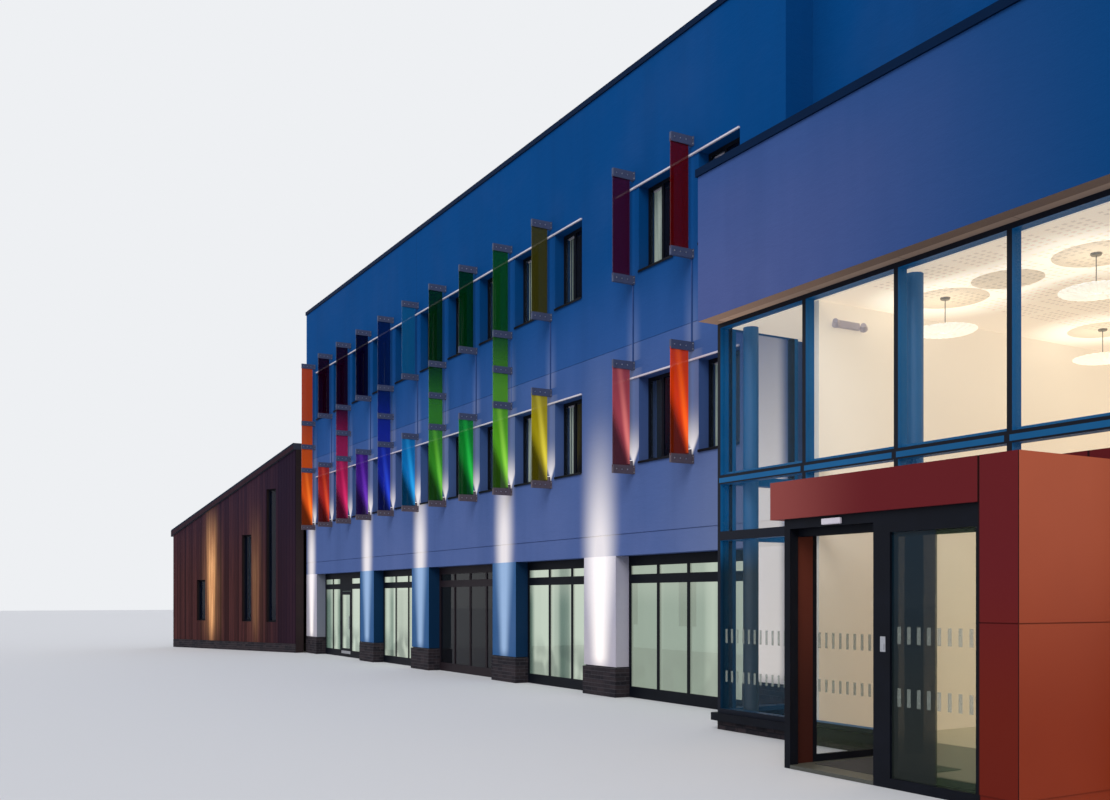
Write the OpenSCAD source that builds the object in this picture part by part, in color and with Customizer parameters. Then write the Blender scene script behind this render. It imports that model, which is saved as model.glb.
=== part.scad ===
// Three-storey school building: a white rendered classroom block with coloured glass fins,
// a glazed entrance hall under a deep white fascia, a red entrance portal and a timber wing.
// X runs along the front from left to right, Y runs back from the front wall, Z is up.

/* [Classroom block] */
// Length of the upper front wall up to the entrance hall
block_len = 24280; // [24180:20:25800]
// Depth of the block from front to back
block_depth = 12000; // [10000:100:15000]
// Thickness of the outer walls
wall = 400; // [300:10:450]
// Floor-to-floor height
storey = 3500; // [3400:10:3600]
// Thickness of the upper floors and the roof deck
floor_t = 300; // [200:10:350]
// Thickness of the ground floor above the paving
ground_t = 40; // [30:5:80]
// Height of the roof build-up over the upper storey's ceiling
roof_build_up = 200; // [150:10:300]
// Height of the parapet above the roof
parapet_up = 750; // [600:10:1000]
// Height of the metal coping on the parapet
coping_h = 110; // [60:5:160]
// Overhang of the copings beyond the wall faces
coping_lip = 30; // [10:5:60]
// Height of the shadow joint between the wall bands
band_joint_z = 6600; // [6500:10:6700]
// Height of the lower shadow joint
low_joint_z = 3090; // [3000:10:3150]
// Width and depth of the shadow joints
joint_w = 16; // [8:1:30]

/* [Ground floor front] */
// Width of each pier
pier_w = 1150; // [1000:10:1250]
// How far the ground and first floor front run on past the upper wall
corner_run = 170; // [130:10:200]
// Left edges of the piers after the first, which stands at the corner
pier_x2 = 5420; // [5300:10:5550]
// Left edge of the third pier
pier_x3 = 9480; // [9350:10:9600]
// Left edge of the fourth pier
pier_x4 = 14340; // [14200:10:14450]
// Left edge of the fifth pier
pier_x5 = 18400; // [18300:10:18500]
// Height of the opening heads
opening_head = 2690; // [2600:10:2800]
// Depth of the glazing behind the wall face
glazing_depth = 300; // [200:5:330]
// Depth of a glazing frame
frame_d = 60; // [40:5:80]
// Face width of a ground floor frame member
frame_w = 70; // [50:5:90]
// Height of the kerb under the ground floor glazing
kerb_h = 140; // [100:5:180]
// Target width of one ground floor pane
pane_w = 930; // [800:10:1100]
// Height of the transom under the top lights
transom_z = 2170; // [2130:10:2200]
// Height of the transom member
transom_h = 170; // [100:5:200]
// Depth of the head frame
head_h = 190; // [120:5:220]
// Height of the brick plinth at the pier feet
plinth_h = 550; // [450:10:650]
// How far the plinth stands out from the pier
plinth_out = 20; // [10:1:40]
// Height of the shadow gap over the plinth
plinth_gap = 25; // [10:1:40]

/* [Side door in the first bay] */
// Left edge of the door opening
side_door_x = 2740; // [2650:10:2900]
// Width of the door leaf
side_door_w = 960; // [900:10:1050]
// Height of the door leaf
side_door_h = 2050; // [1950:10:2100]
// Face width of the side leaf's stiles
side_stile_w = 110; // [80:5:140]
// Radius of the hinge knuckles
knuckle_r = 10; // [8:1:12]
// Height of a hinge knuckle
knuckle_h = 60; // [40:5:80]
// Distance of the outer hinges from the leaf's ends
hinge_in = 250; // [150:10:400]
// Running clearance round door leaves
door_clear = 8; // [6:1:12]

/* [Windows of the upper storeys] */
// Position of the first fin from the left corner
first_bay_x = 950; // [900:10:1100]
// Distance from the left group's last fin to the right group's first
group_gap = 3090; // [2900:10:3300]
// Distance from the last fin to the end of the upper wall
end_gap = 2340; // [2200:10:2500]
// How far the drip trim runs on to the left of the right group
trim_lead = 540; // [200:20:700]
// Distance from a fin to its window
fin_to_window = 180; // [140:5:220]
// Width of a window opening
window_w = 1080; // [950:10:1150]
// Height of a window opening
window_h = 1550; // [1400:10:1650]
// Height of the sill above the floor of the storey
sill_up = 890; // [800:10:950]
// Depth of the window reveal
reveal = 210; // [120:5:250]
// Face width of a window frame member
window_frame_w = 60; // [40:5:80]
// Share of the window width on the left of its mullion
mullion_share = 0.42; // [0.3:0.01:0.6]
// Thickness of the glass units
glass_t = 24; // [16:1:32]
// Height and projection of the drip trim over the windows
trim_h = 30; // [15:1:50]
// Number of bays with windows in the back wall
back_bays = 8; // [6:1:8]
// Position of the first window in the back wall
back_bay_x = 2150; // [1900:50:2300]
// Distance of the first window in an end wall from the front
end_bay_y = 2600; // [2400:50:3000]

/* [Coloured glass fins] */
// Projection of a bracket from the wall
fin_out = 460; // [400:5:520]
// Distance from the wall to the inner edge of the glass
fin_gap = 90; // [80:5:120]
// Thickness of the coloured glass
fin_t = 20; // [16:1:28]
// Height of a bracket
bracket_h = 155; // [120:5:180]
// Width of a bracket channel
bracket_w = 56; // [44:2:80]
// Depth of the glass in its bracket slot
bracket_seat = 40; // [25:5:55]
// Height of the clear glass between the brackets of one storey
fin_glass_h = 1765; // [1700:5:1780]
// Height of the first storey's lower bracket above its floor
fin_foot_up = 680; // [650:5:700]
// Width of the wall plate behind a bracket
plate_w = 110; // [90:2:140]
// Thickness of the wall plate
plate_t = 14; // [8:1:20]
// Radius of the uplights at the fin feet
uplight_r = 32; // [20:1:36]
// Height of the uplights
uplight_h = 90; // [60:5:120]

/* [Entrance hall] */
// Length of the hall front beyond the classroom block
hall_len = 6720; // [6650:10:7400]
// Position of the glass corner beyond the end of the upper wall
hall_side = 120; // [60:5:140]
// How far the glass front stands before the block's front wall
hall_out = 1400; // [1300:10:1500]
// Setback of the upper wall over the hall
setback = 550; // [450:10:600]
// Distance from the block's corner to the first inner mullion
first_mullion = 1880; // [1800:10:1950]
// Spacing of the other mullions
mullion_pitch = 1557; // [1500:1:1580]
// Face width of a mullion
mullion_w = 65; // [50:5:80]
// Depth of a mullion
mullion_d = 150; // [100:5:200]
// Height of the brick base under the glass front
base_h = 130; // [100:5:160]
// Height of the sill over the base
hall_sill_h = 110; // [80:5:130]
// Projection of the sill
hall_sill_out = 70; // [40:5:90]
// Height of the lower transom
hall_transom1 = 2720; // [2650:10:2760]
// Height of the upper transom
hall_transom2 = 3530; // [3480:10:3600]
// Height of the soffit over the glass front
soffit_z = 5850; // [5800:10:5900]
// Thickness of the soffit and hall roof
hall_roof_t = 300; // [200:10:400]
// Height of the fascia including its coping
fascia_h = 2180; // [2000:10:2300]
// How far the fascia stands before the block's front wall
fascia_out = 1740; // [1700:10:1850]
// How far the fascia's end stands out beside the glass corner
fascia_side = 20; // [0:5:60]
// Thickness of the fascia wall
fascia_t = 200; // [150:10:240]
// Underside of the hall ceiling
ceiling_z = 5770; // [5720:10:5790]
// Radius of the round columns behind the glass
column_r = 110; // [90:5:130]
// Distance of the column centres behind the glass front
column_back = 340; // [270:10:420]
// Position of the white partition beyond the block's corner
partition_x = 1900; // [1820:10:2000]
// Thickness of the partition
partition_t = 130; // [100:10:160]
// Radius of the pendant lamp discs
lamp_r = 395; // [300:5:450]
// Thickness of a lamp disc
lamp_t = 50; // [30:5:80]
// Radius of a lamp's rod
lamp_rod_r = 10; // [6:1:15]
// Drop of the pendant lamps below the ceiling
lamp_drop = 450; // [300:10:500]
// Position of the first row of lamps beyond the block's corner
lamp_x = 2920; // [2700:20:3200]
// Distance of the first lamps behind the block front
lamp_y = 90; // [50:10:300]
// Spacing of the lamps across the hall
lamp_pitch_x = 2100; // [1800:50:2300]
// Spacing of the lamps from front to back
lamp_pitch_y = 3300; // [3000:50:3600]

/* [Entrance portal] */
// Left edge of the portal beyond the block's corner
portal_x = 3150; // [3050:10:3200]
// Width of the portal beam and leg together
portal_w = 3240; // [3200:10:3300]
// How far the portal front stands before the block's front wall
portal_out = 3050; // [2900:10:3150]
// Distance of the doors behind the portal front
door_in = 50; // [30:5:90]
// Height of the portal
portal_h = 3190; // [3150:10:3300]
// Height of the portal beam
beam_h = 420; // [380:10:440]
// Width of the right leg
leg_w = 433; // [400:1:480]
// Thickness of the cladding panels on the sides
panel_t = 100; // [60:5:120]
// Overhang of the beam beyond the left door post
beam_over = 180; // [120:5:220]
// Height of the flashing where the portal roof meets the glass front
flashing_h = 150; // [100:10:200]
// Height of the cladding's bottom edge above ground
cladding_z = 115; // [80:5:150]
// Width of the joint between cladding panels
panel_joint = 12; // [6:1:20]
// Height of the joint across the leg
leg_joint_z = 1665; // [1600:5:1700]
// Thickness of the lobby ceiling
lobby_ceiling_t = 40; // [20:5:60]
// Width of the left return panel
left_panel_w = 260; // [200:10:500]

/* [Entrance doors] */
// Width of the door posts
post_w = 90; // [80:5:130]
// Depth of the door posts
post_d = 120; // [100:5:150]
// Clear width of the doorway
doorway_w = 1230; // [1180:10:1250]
// Width of the middle post
middle_post_w = 220; // [150:5:230]
// Height of the doorway head
door_head = 2660; // [2600:10:2700]
// Height of the fixed screen's glass
screen_head = 2550; // [2480:10:2600]
// Thickness of the sliding leaf
leaf_t = 50; // [40:2:60]
// Face width of the leaf's stiles and rails
stile_w = 60; // [50:5:80]
// Thickness of the leaf's hanger plates
hanger_t = 8; // [5:1:12]
// Distance of the hangers from the leaf's edges
hanger_in = 150; // [80:10:300]
// Radius of the rollers
roller_r = 20; // [14:1:22]
// Thickness of the rollers
roller_t = 16; // [10:1:20]
// Width of the rail
rail_w = 30; // [24:1:40]
// Wall thickness of the track housing
track_wall = 8; // [5:1:12]
// Overlap of the closed leaf behind its posts
leaf_lap = 30; // [20:5:40]

/* [Timber wing] */
// Length of the splayed front
wing_front = 7360; // [6900:20:7800]
// Angle between the wing front and the block front
wing_angle = 22; // [18:1:25]
// How far the wing's corner stands before the block front
wing_proud = 375; // [300:5:450]
// Distance the wing runs back beside the block
wing_back = 8000; // [7000:100:9500]
// Height of the wing at its left eaves
eaves_z = 4500; // [4300:10:4700]
// Height of the wing where it meets the block
ridge_z = 7210; // [7000:10:7400]
// Thickness of the wing walls
wing_wall = 250; // [200:10:300]
// Thickness of the wing roof
wing_roof_t = 220; // [180:10:260]
// Overhang of the wing roof
verge = 90; // [60:5:140]
// Height of the wing plinth
wing_plinth_h = 300; // [200:10:400]
// Depth of the slit windows' reveals
reveal_wing = 80; // [50:5:120]
// Width of the slit windows
slit_w = 540; // [450:10:600]
// Sill height of the slit windows
slit_sill = 1040; // [950:10:1150]
// Positions of the slit windows from the block
slit_pos1 = 1060; // [950:10:1150]
// Position of the second slit window
slit_pos2 = 2470; // [2350:10:2600]
// Position of the third slit window
slit_pos3 = 5260; // [5100:10:5350]
// Width of the doorway between the block and the wing
wing_door_w = 1500; // [1200:20:1800]
// Distance of that doorway behind the front wall
wing_door_y = 3200; // [2800:50:4000]
// How far that doorway's head is below the entrance's
wing_door_drop = 500; // [300:20:600]
// Heads of the slit windows, from the block outwards
slit_head1 = 5710; // [5500:10:5800]
// Head of the second slit window
slit_head2 = 4150; // [4000:10:4300]
// Head of the third slit window
slit_head3 = 2560; // [2400:10:2700]

/* [Hidden] */
$fn = 32;
fit = 0.3;
cut = 50;
weld = 1;
total_len = block_len + hall_len;
parapet_top = 3 * storey + roof_build_up + floor_t + parapet_up;
wall_top = parapet_top - coping_h;
first_floor_z = storey;
second_floor_z = 2 * storey;
roof_z = 3 * storey + roof_build_up;
left_bays = 10;
right_bays = 2;
bay_pitch = (block_len - first_bay_x - group_gap - end_gap) / (left_bays + right_bays - 2);
right_bay_x = first_bay_x + (left_bays - 1) * bay_pitch + group_gap;
bay_xs = concat([for (i = [0:left_bays - 1]) first_bay_x + i * bay_pitch],
                [for (i = [0:right_bays - 1]) right_bay_x + i * bay_pitch]);
sills = [first_floor_z + sill_up, second_floor_z + sill_up];
back_xs = [for (i = [0:back_bays - 1]) back_bay_x + 2 * bay_pitch * i];
end_ys = [end_bay_y, end_bay_y + 2 * bay_pitch];
storey_sills = [sill_up, sills[0], sills[1]];
trim_ends = [[first_bay_x + fin_to_window,
              first_bay_x + (left_bays - 1) * bay_pitch + fin_to_window + window_w],
             [right_bay_x - trim_lead,
              right_bay_x + (right_bays - 1) * bay_pitch + fin_to_window + window_w]];
low_len = block_len + corner_run;
pier_xs = [0, pier_x2, pier_x3, pier_x4, pier_x5, low_len - pier_w];
white_pier = [0, 4, 5];
blue_pier = [1, 2, 3];
opening_spans = [for (i = [0:4]) [pier_xs[i] + pier_w, pier_xs[i + 1]]];
side_door_end = side_door_x + side_door_w + 2 * door_clear;
door_spans = [[opening_spans[0][0], side_door_x], [side_door_end, opening_spans[0][1]]];
glazed_spans = concat(door_spans, [for (i = [1:4]) opening_spans[i]]);
glass_y = glazing_depth + (frame_d - glass_t) / 2;
side_leaf_low = [side_door_x + door_clear, glazing_depth, ground_t + door_clear];
side_leaf_high = [side_door_x + door_clear + side_door_w, glazing_depth + frame_d,
                  ground_t + door_clear + side_door_h];
side_light_low = side_leaf_low + [side_stile_w, 0, 2 * side_stile_w];
side_light_high = side_leaf_high - [side_stile_w, 0, side_stile_w];
hinge_x = side_door_x + door_clear / 2;
hinge_y = glazing_depth - knuckle_r - weld;
hinge_zs = [side_leaf_low[2] + hinge_in, (side_leaf_low[2] + side_leaf_high[2]) / 2,
            side_leaf_high[2] - hinge_in];
hinge_plate_start = 5;
hinge_plate_w = 14;
fin_foot_zs = [for (level = [first_floor_z, second_floor_z]) level + fin_foot_up];
mid_bracket_z = (fin_foot_zs[0] + 2 * bracket_h + fin_glass_h + fin_foot_zs[1]) / 2 - bracket_h / 2;
fin_edge_in = 3;
hall_x = block_len + hall_side;
hall_fascia_x = hall_x - fascia_side;
hall_end_in = 60;
mullion_xs = [hall_x, block_len + first_mullion, block_len + first_mullion + mullion_pitch,
              block_len + first_mullion + 2 * mullion_pitch, total_len - mullion_w - hall_end_in];
hall_right = mullion_xs[4] + mullion_w;
glass_in = 40;
front_glass_y = -hall_out + glass_in;
hall_sill_z = base_h + hall_sill_h;
roof_top = soffit_z + hall_roof_t;
hall_bays = [for (i = [0:3]) [mullion_xs[i] + mullion_w, mullion_xs[i + 1]]];
hall_rows = [[hall_sill_z, hall_transom1], [hall_transom1 + mullion_w, hall_transom2],
             [hall_transom2 + mullion_w, soffit_z - mullion_w]];
return_xs = [hall_x, hall_right - mullion_d];
return_ys = [-hall_out + mullion_d + mullion_w, -mullion_w];
column_corner_gap = 70;
column_end_gap = 10;
column_xs = [hall_x + mullion_d + column_r + column_corner_gap, mullion_xs[2],
             hall_right - mullion_d - column_r - column_end_gap];
lamp_xs = [for (i = [0:1]) block_len + lamp_x + i * lamp_pitch_x];
lamp_ys = [for (i = [0:3]) lamp_y + i * lamp_pitch_y];
fascia_top = soffit_z + fascia_h;
portal_left = block_len + portal_x;
portal_right = portal_left + portal_w;
leg_x = portal_right - leg_w;
post_x = portal_left + beam_over;
door_x = post_x + post_w;
middle_x = door_x + doorway_w;
screen_x = middle_x + middle_post_w;
door_y = -portal_out + door_in;
beam_z = portal_h - beam_h;
screen_y = door_y + post_d + left_panel_w;
screen_end_y = -hall_out - fit;
leaf_gap = 10;
leaf_y = door_y + post_d + leaf_gap;
leaf_w = doorway_w + 2 * leaf_lap;
leaf_open = leg_x - 2 * door_clear - leaf_w;
leaf_closed = door_x - leaf_lap;
leaf_travel = leaf_open - leaf_closed;
leaf_base = ground_t + door_clear;
leaf_over_screen = 20;
leaf_top = screen_head + leaf_over_screen;
track_foot_z = leaf_top + door_clear;
track_over = 10;
track_gap = 5;
track_x = [leaf_closed - track_over, leg_x];
track_y = [door_y + post_d, leaf_y + leaf_t + rail_w + 2 * track_wall];
rail_up = 60;
rail_z = leaf_top + rail_up;
roller_gap = 2;
roller_y = leaf_y + leaf_t / 2 + hanger_t / 2;
screen_glass_in = 30;
side_glass_in = 10;
side_y = -hall_out;
wing_left = -wing_front * cos(wing_angle);
wing_far_y = -wing_proud - wing_front * sin(wing_angle);
slit_starts = [slit_pos1, slit_pos2, slit_pos3];
slit_heads = [slit_head1, slit_head2, slit_head3];
min_x = wing_left - verge;
max_x = total_len + coping_lip;
min_y = min(wing_far_y - verge, -portal_out);
max_y = block_depth + coping_lip;
origin_x = (min_x + max_x) / 2;
origin_y = (min_y + max_y) / 2;

// A box from its lowest corner to its highest
module block(low, high) translate(low) cube(high - low);

// Moves the building so that the origin is under the middle of its box
module placed() translate([-origin_x, -origin_y, 0]) children();

// The ground floor runs under the block and the hall
module ground_floor() color("lightgray") placed() union() {
    block([wall, wall, 0], [total_len - wall, block_depth - wall, ground_t]);
    block([hall_x + mullion_d, -hall_out + mullion_d, 0], [hall_right - mullion_d, 0, ground_t]);
    block([low_len, 0, 0], [total_len - wall, wall + weld, ground_t]);
    block([hall_x + mullion_d, -weld, 0], [total_len - wall, weld, ground_t]);
    block([post_x + post_w / 2, door_y + post_d, 0], [portal_right - panel_t, side_y + weld, ground_t]);
    block([post_x, side_y, 0], [portal_right - panel_t, -hall_out + mullion_d + weld, ground_t]);
    block([door_x, door_y, 0], [middle_x, door_y + post_d + weld, ground_t]);
    linear_extrude(ground_t) polygon([inner_front_right, inner_front_left,
                                      [wing_left + wing_wall, wing_back - wing_wall],
                                      [0, wing_back - wing_wall]]);
    block([-weld, wing_door_y, 0], [wall + weld, wing_door_y + wing_door_w, ground_t]);
}

// One pier of the ground floor front
module pier(i) block([pier_xs[i], 0, plinth_h + plinth_gap], [pier_xs[i] + pier_w, wall, opening_head]);

module white_piers() color("whitesmoke") placed() for (i = white_pier) pier(i);
module blue_piers() color("steelblue") placed() for (i = blue_pier) pier(i);

// Brick plinths with a recessed shadow gap above
module pier_plinths() color("dimgray") placed() for (i = [0:5]) {
    x = pier_xs[i];
    low_x = i == 0 ? x : x - plinth_out;
    high_x = i == 5 ? hall_x : x + pier_w + plinth_out;
    union() {
        block([low_x, -plinth_out, 0], [high_x, glazing_depth, plinth_h]);
        block([x, 0, 0], [x + pier_w, wall, plinth_h]);
    }
    block([x + plinth_gap, plinth_gap, plinth_h], [x + pier_w - plinth_gap, wall, plinth_h + plinth_gap]);
}

// Window holes through a wall band that lies along X
module window_holes(sill) for (x = bay_xs)
    block([x + fin_to_window, -cut, sill], [x + fin_to_window + window_w, wall + cut, sill + window_h]);

// Shadow joint cut along the face of the front wall
module face_joint(z) block([-cut, -cut, z - joint_w / 2], [low_len + cut, joint_w, z + joint_w / 2]);

module lower_front_wall() color("whitesmoke") placed() difference() {
    block([0, 0, opening_head], [low_len, wall, band_joint_z]);
    window_holes(sills[0]);
    face_joint(low_joint_z);
    face_joint(band_joint_z);
}

module upper_front_wall() color("whitesmoke") placed() difference() {
    block([0, 0, band_joint_z], [block_len, wall, wall_top]);
    window_holes(sills[1]);
}

// The wall over the hall steps back and is closed by a short return
module set_back_wall() color("whitesmoke") placed() union() {
    block([block_len, setback, roof_top], [total_len, setback + wall, wall_top]);
    block([block_len - wall, wall, second_floor_z], [block_len, setback + wall, wall_top]);
}

// The back and end walls have the front's windows at every second bay
module back_hole(x, sill) block([x, block_depth - wall - cut, sill],
                                [x + window_w, block_depth + cut, sill + window_h]);
module side_hole(x, y, sill) block([x - cut, y, sill], [x + wall + cut, y + window_w, sill + window_h]);

module end_walls() color("whitesmoke") placed() {
    difference() {
        block([0, wall, 0], [wall, block_depth - wall, wall_top]);
        for (y = end_ys) side_hole(0, y, sills[1]);
        block([-cut, wing_door_y, -cut],
              [wall + cut, wing_door_y + wing_door_w, door_head - wing_door_drop]);
    }
    difference() {
        block([total_len - wall, setback + wall, 0], [total_len, block_depth - wall, wall_top]);
        for (y = end_ys, sill = storey_sills) side_hole(total_len - wall, y, sill);
    }
    block([total_len - wall, 0, 0], [total_len, setback + wall, soffit_z]);
}

module back_wall() color("whitesmoke") placed() difference() {
    block([0, block_depth - wall, 0], [total_len, block_depth, wall_top]);
    for (x = back_xs, sill = storey_sills) back_hole(x, sill);
}

// First floor up to the hall partition and second floor over the hall too
module upper_floors() color("gainsboro") placed() {
    block([wall, wall, first_floor_z - floor_t],
          [block_len + partition_x, block_depth - wall, first_floor_z]);
    union() {
        block([wall, wall, second_floor_z - floor_t], [block_len - wall, block_depth - wall, second_floor_z]);
        block([block_len - wall - weld, setback + wall, second_floor_z - floor_t],
              [total_len - wall, block_depth - wall, second_floor_z]);
    }
}

module roof_deck() color("darkgray") placed() union() {
    block([wall, wall, roof_z], [block_len - wall, block_depth - wall, roof_z + floor_t]);
    block([block_len - wall - weld, setback + wall, roof_z],
          [total_len - wall, block_depth - wall, roof_z + floor_t]);
}

// Dark metal copings round the parapet and on the fascia
module copings() color("darkslategray") placed() {
    difference() {
        block([-coping_lip, -coping_lip, wall_top],
              [total_len + coping_lip, block_depth + coping_lip, parapet_top]);
        block([wall + coping_lip, wall + coping_lip, wall_top - cut],
              [block_len - wall - coping_lip, block_depth - wall - coping_lip, parapet_top + cut]);
        block([block_len - wall - coping_lip - weld, setback + wall + coping_lip, wall_top - cut],
              [total_len - wall - coping_lip, block_depth - wall - coping_lip, parapet_top + cut]);
        block([block_len + coping_lip, -cut, wall_top - cut],
              [total_len + cut, setback - coping_lip, parapet_top + cut]);
    }
    difference() {
        block([hall_fascia_x - coping_lip, -fascia_out - coping_lip, fascia_top - coping_h],
              [total_len + coping_lip, 0, fascia_top]);
        block([hall_fascia_x + fascia_t + coping_lip, -fascia_out + fascia_t + coping_lip,
               fascia_top - coping_h - cut], [total_len - fascia_t - coping_lip, cut, fascia_top + cut]);
    }
}

// A two-light window frame in a hole that starts at the origin, seen from the front
module window_frame() difference() {
    block([0, 0, 0], [window_w, frame_d, window_h]);
    for (span = window_lights())
        block([span[0], -cut, window_frame_w], [span[1], frame_d + cut, window_h - window_frame_w]);
}

function window_lights() = [[window_frame_w, mullion_share * window_w - window_frame_w / 2],
                            [mullion_share * window_w + window_frame_w / 2, window_w - window_frame_w]];

module window_panes() for (span = window_lights())
    block([span[0], (frame_d - glass_t) / 2, window_frame_w],
          [span[1], (frame_d + glass_t) / 2, window_h - window_frame_w]);

// Places its child in every window of the front, back and end walls
module in_windows() {
    for (x = bay_xs, sill = sills) translate([x + fin_to_window, reveal, sill]) children();
    for (x = back_xs, sill = storey_sills)
        translate([x + window_w, block_depth - reveal, sill]) rotate(180) children();
    for (y = end_ys, sill = storey_sills)
        translate([total_len - reveal, y, sill]) rotate(90) children();
    for (y = end_ys) translate([reveal, y + window_w, sills[1]]) rotate(-90) children();
}

module window_frames() color("black") placed() {
    in_windows() window_frame();
    along_front() for (i = [0:2]) difference() {
        slit(i, [0, -reveal_wing - frame_d, 0], [0, -reveal_wing, 0]);
        slit(i, [window_frame_w, -reveal_wing - frame_d - cut, window_frame_w],
             [-window_frame_w, -reveal_wing + cut, -window_frame_w]);
    }
}

module window_glass() color("lightblue", 0.4) placed() {
    in_windows() window_panes();
    along_front() for (i = [0:2])
        slit(i, [window_frame_w, -reveal_wing - (frame_d + glass_t) / 2, window_frame_w],
             [-window_frame_w, -reveal_wing - (frame_d - glass_t) / 2, -window_frame_w]);
}

// A box in a slit window of the wing, from its lower corner to its upper one
module slit(i, low, high)
    block([slit_starts[i], 0, slit_sill] + low, [slit_starts[i] + slit_w, 0, slit_heads[i]] + high);

// White drip trims along the window heads
module drip_trims() color("white") placed() for (sill = sills, ends = trim_ends)
    block([ends[0], -trim_h, sill + window_h], [ends[1], 0, sill + window_h + trim_h]);

// Panes of a ground floor opening, leaving out the side door's place in the first one
function pane_count(span) = round((span[1] - span[0]) / pane_w);
function panes(span) = let (count = pane_count(span), step = (span[1] - span[0] - frame_w) / count)
    [for (i = [0:count - 1]) [span[0] + frame_w + i * step, span[0] + (i + 1) * step]];

// One run of framing with a kerb, transom and top lights
module glazing_run(span) difference() {
    block([span[0], glazing_depth, 0], [span[1], glazing_depth + frame_d, opening_head]);
    for (pane = panes(span)) {
        block([pane[0], glazing_depth - cut, kerb_h + frame_w], [pane[1], wall + cut, transom_z]);
        block([pane[0], glazing_depth - cut, transom_z + transom_h],
              [pane[1], wall + cut, opening_head - head_h]);
    }
}

module ground_frames() color("darkslategray") placed() {
    union() {
        for (span = door_spans) glazing_run(span);
        block([side_door_x - weld, glazing_depth, side_door_h + ground_t + 2 * door_clear],
              [side_door_end + weld, glazing_depth + frame_d, opening_head]);
        block([side_door_x - weld, glazing_depth, 0], [side_door_end + weld, wall, ground_t - weld]);
    }
    for (i = [2:5]) glazing_run(glazed_spans[i]);
    frame_knuckles();
}

module ground_glass() color("lightblue", 0.4) placed() for (span = glazed_spans, pane = panes(span)) {
    block([pane[0], glass_y, kerb_h + frame_w], [pane[1], glass_y + glass_t, transom_z]);
    block([pane[0], glass_y, transom_z + transom_h], [pane[1], glass_y + glass_t, opening_head - head_h]);
}

// Hinge knuckles in front of the joint: the frame's carry the leaf's
module knuckle(z) translate([hinge_x, hinge_y, z]) cylinder(h = knuckle_h, r = knuckle_r);

module frame_knuckles() for (z = hinge_zs) {
    knuckle(z - knuckle_h);
    block([hinge_x - knuckle_r - hinge_plate_w, hinge_y, z - knuckle_h],
          [hinge_x - hinge_plate_start, glazing_depth + weld, z]);
}

// The hinged door leaf of the first bay
module side_door_frame() color("darkslategray") placed() union() {
    difference() {
        block(side_leaf_low, side_leaf_high);
        block(side_light_low - [0, cut, 0], side_light_high + [0, cut, 0]);
    }
    for (z = hinge_zs) {
        knuckle(z + fit);
        block([hinge_x + hinge_plate_start, hinge_y, z + fit],
              [hinge_x + knuckle_r + hinge_plate_w, glazing_depth + weld, z + fit + knuckle_h]);
    }
}

module side_door_glass() color("lightblue", 0.4) placed()
    block([side_light_low[0], glass_y, side_light_low[2]],
          [side_light_high[0], glass_y + glass_t, side_light_high[2]]);

// A bracket channel with a wall plate and a glass slot in its top, its foot or both
module bracket(x, z, slot_top, slot_foot) translate([x, 0, z]) difference() {
    union() {
        block([-bracket_w / 2, -fin_out, 0], [bracket_w / 2, 0, bracket_h]);
        block([-plate_w / 2, -plate_t, 0], [plate_w / 2, 0, bracket_h]);
    }
    if (slot_top)
        block([-fin_t / 2, -fin_out - cut, bracket_h - bracket_seat], [fin_t / 2, -fin_gap, bracket_h + cut]);
    if (slot_foot) block([-fin_t / 2, -fin_out - cut, -cut], [fin_t / 2, -fin_gap, bracket_seat]);
}

function tall_fin(i) = i < left_bays && i % 2 == 0;

module fin_brackets() color("gray") placed() for (i = [0:len(bay_xs) - 1]) {
    bracket(bay_xs[i], fin_foot_zs[0], true, false);
    bracket(bay_xs[i], fin_foot_zs[0] + bracket_h + fin_glass_h, tall_fin(i), true);
    if (tall_fin(i)) bracket(bay_xs[i], mid_bracket_z, true, true);
    bracket(bay_xs[i], fin_foot_zs[1], true, tall_fin(i));
    bracket(bay_xs[i], fin_foot_zs[1] + bracket_h + fin_glass_h, false, true);
}

// Uplights stand on the lower brackets between the wall and the glass
module fin_uplights() color("silver") placed() for (x = bay_xs)
    translate([x, -fin_gap / 2 - plate_t / 2, fin_foot_zs[0] + bracket_h])
        cylinder(h = uplight_h, r = uplight_r);

// One pane of coloured glass between two heights
module fin_pane(x, low, high) block([x - fin_t / 2, -fin_out + fin_edge_in, low - bracket_seat],
                                    [x + fin_t / 2, -fin_gap, high + bracket_seat]);

module fin_glass(i) placed() {
    for (foot = fin_foot_zs) fin_pane(bay_xs[i], foot + bracket_h, foot + bracket_h + fin_glass_h);
    if (tall_fin(i)) {
        fin_pane(bay_xs[i], fin_foot_zs[0] + 2 * bracket_h + fin_glass_h, mid_bracket_z);
        fin_pane(bay_xs[i], mid_bracket_z + bracket_h, fin_foot_zs[1]);
    }
}

module fin_glass_1() color("darkorange", 0.7) fin_glass(0);
module fin_glass_2() color("red", 0.7) fin_glass(1);
module fin_glass_3() color("crimson", 0.7) fin_glass(2);
module fin_glass_4() color("indigo", 0.7) fin_glass(3);
module fin_glass_5() color("mediumblue", 0.7) fin_glass(4);
module fin_glass_6() color("deepskyblue", 0.7) fin_glass(5);
module fin_glass_7() color("green", 0.7) fin_glass(6);
module fin_glass_8() color("forestgreen", 0.7) fin_glass(7);
module fin_glass_9() color("limegreen", 0.7) fin_glass(8);
module fin_glass_10() color("gold", 0.7) fin_glass(9);
module fin_glass_11() color("palevioletred", 0.7) fin_glass(10);
module fin_glass_12() color("orangered", 0.7) fin_glass(11);

// The hall's glass front: mullions and transoms round openings that the portal interrupts
module portal_hole() block([post_x, -hall_out - cut, -cut],
                           [portal_right - panel_t, -hall_out + mullion_d + cut, beam_z]);

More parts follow.
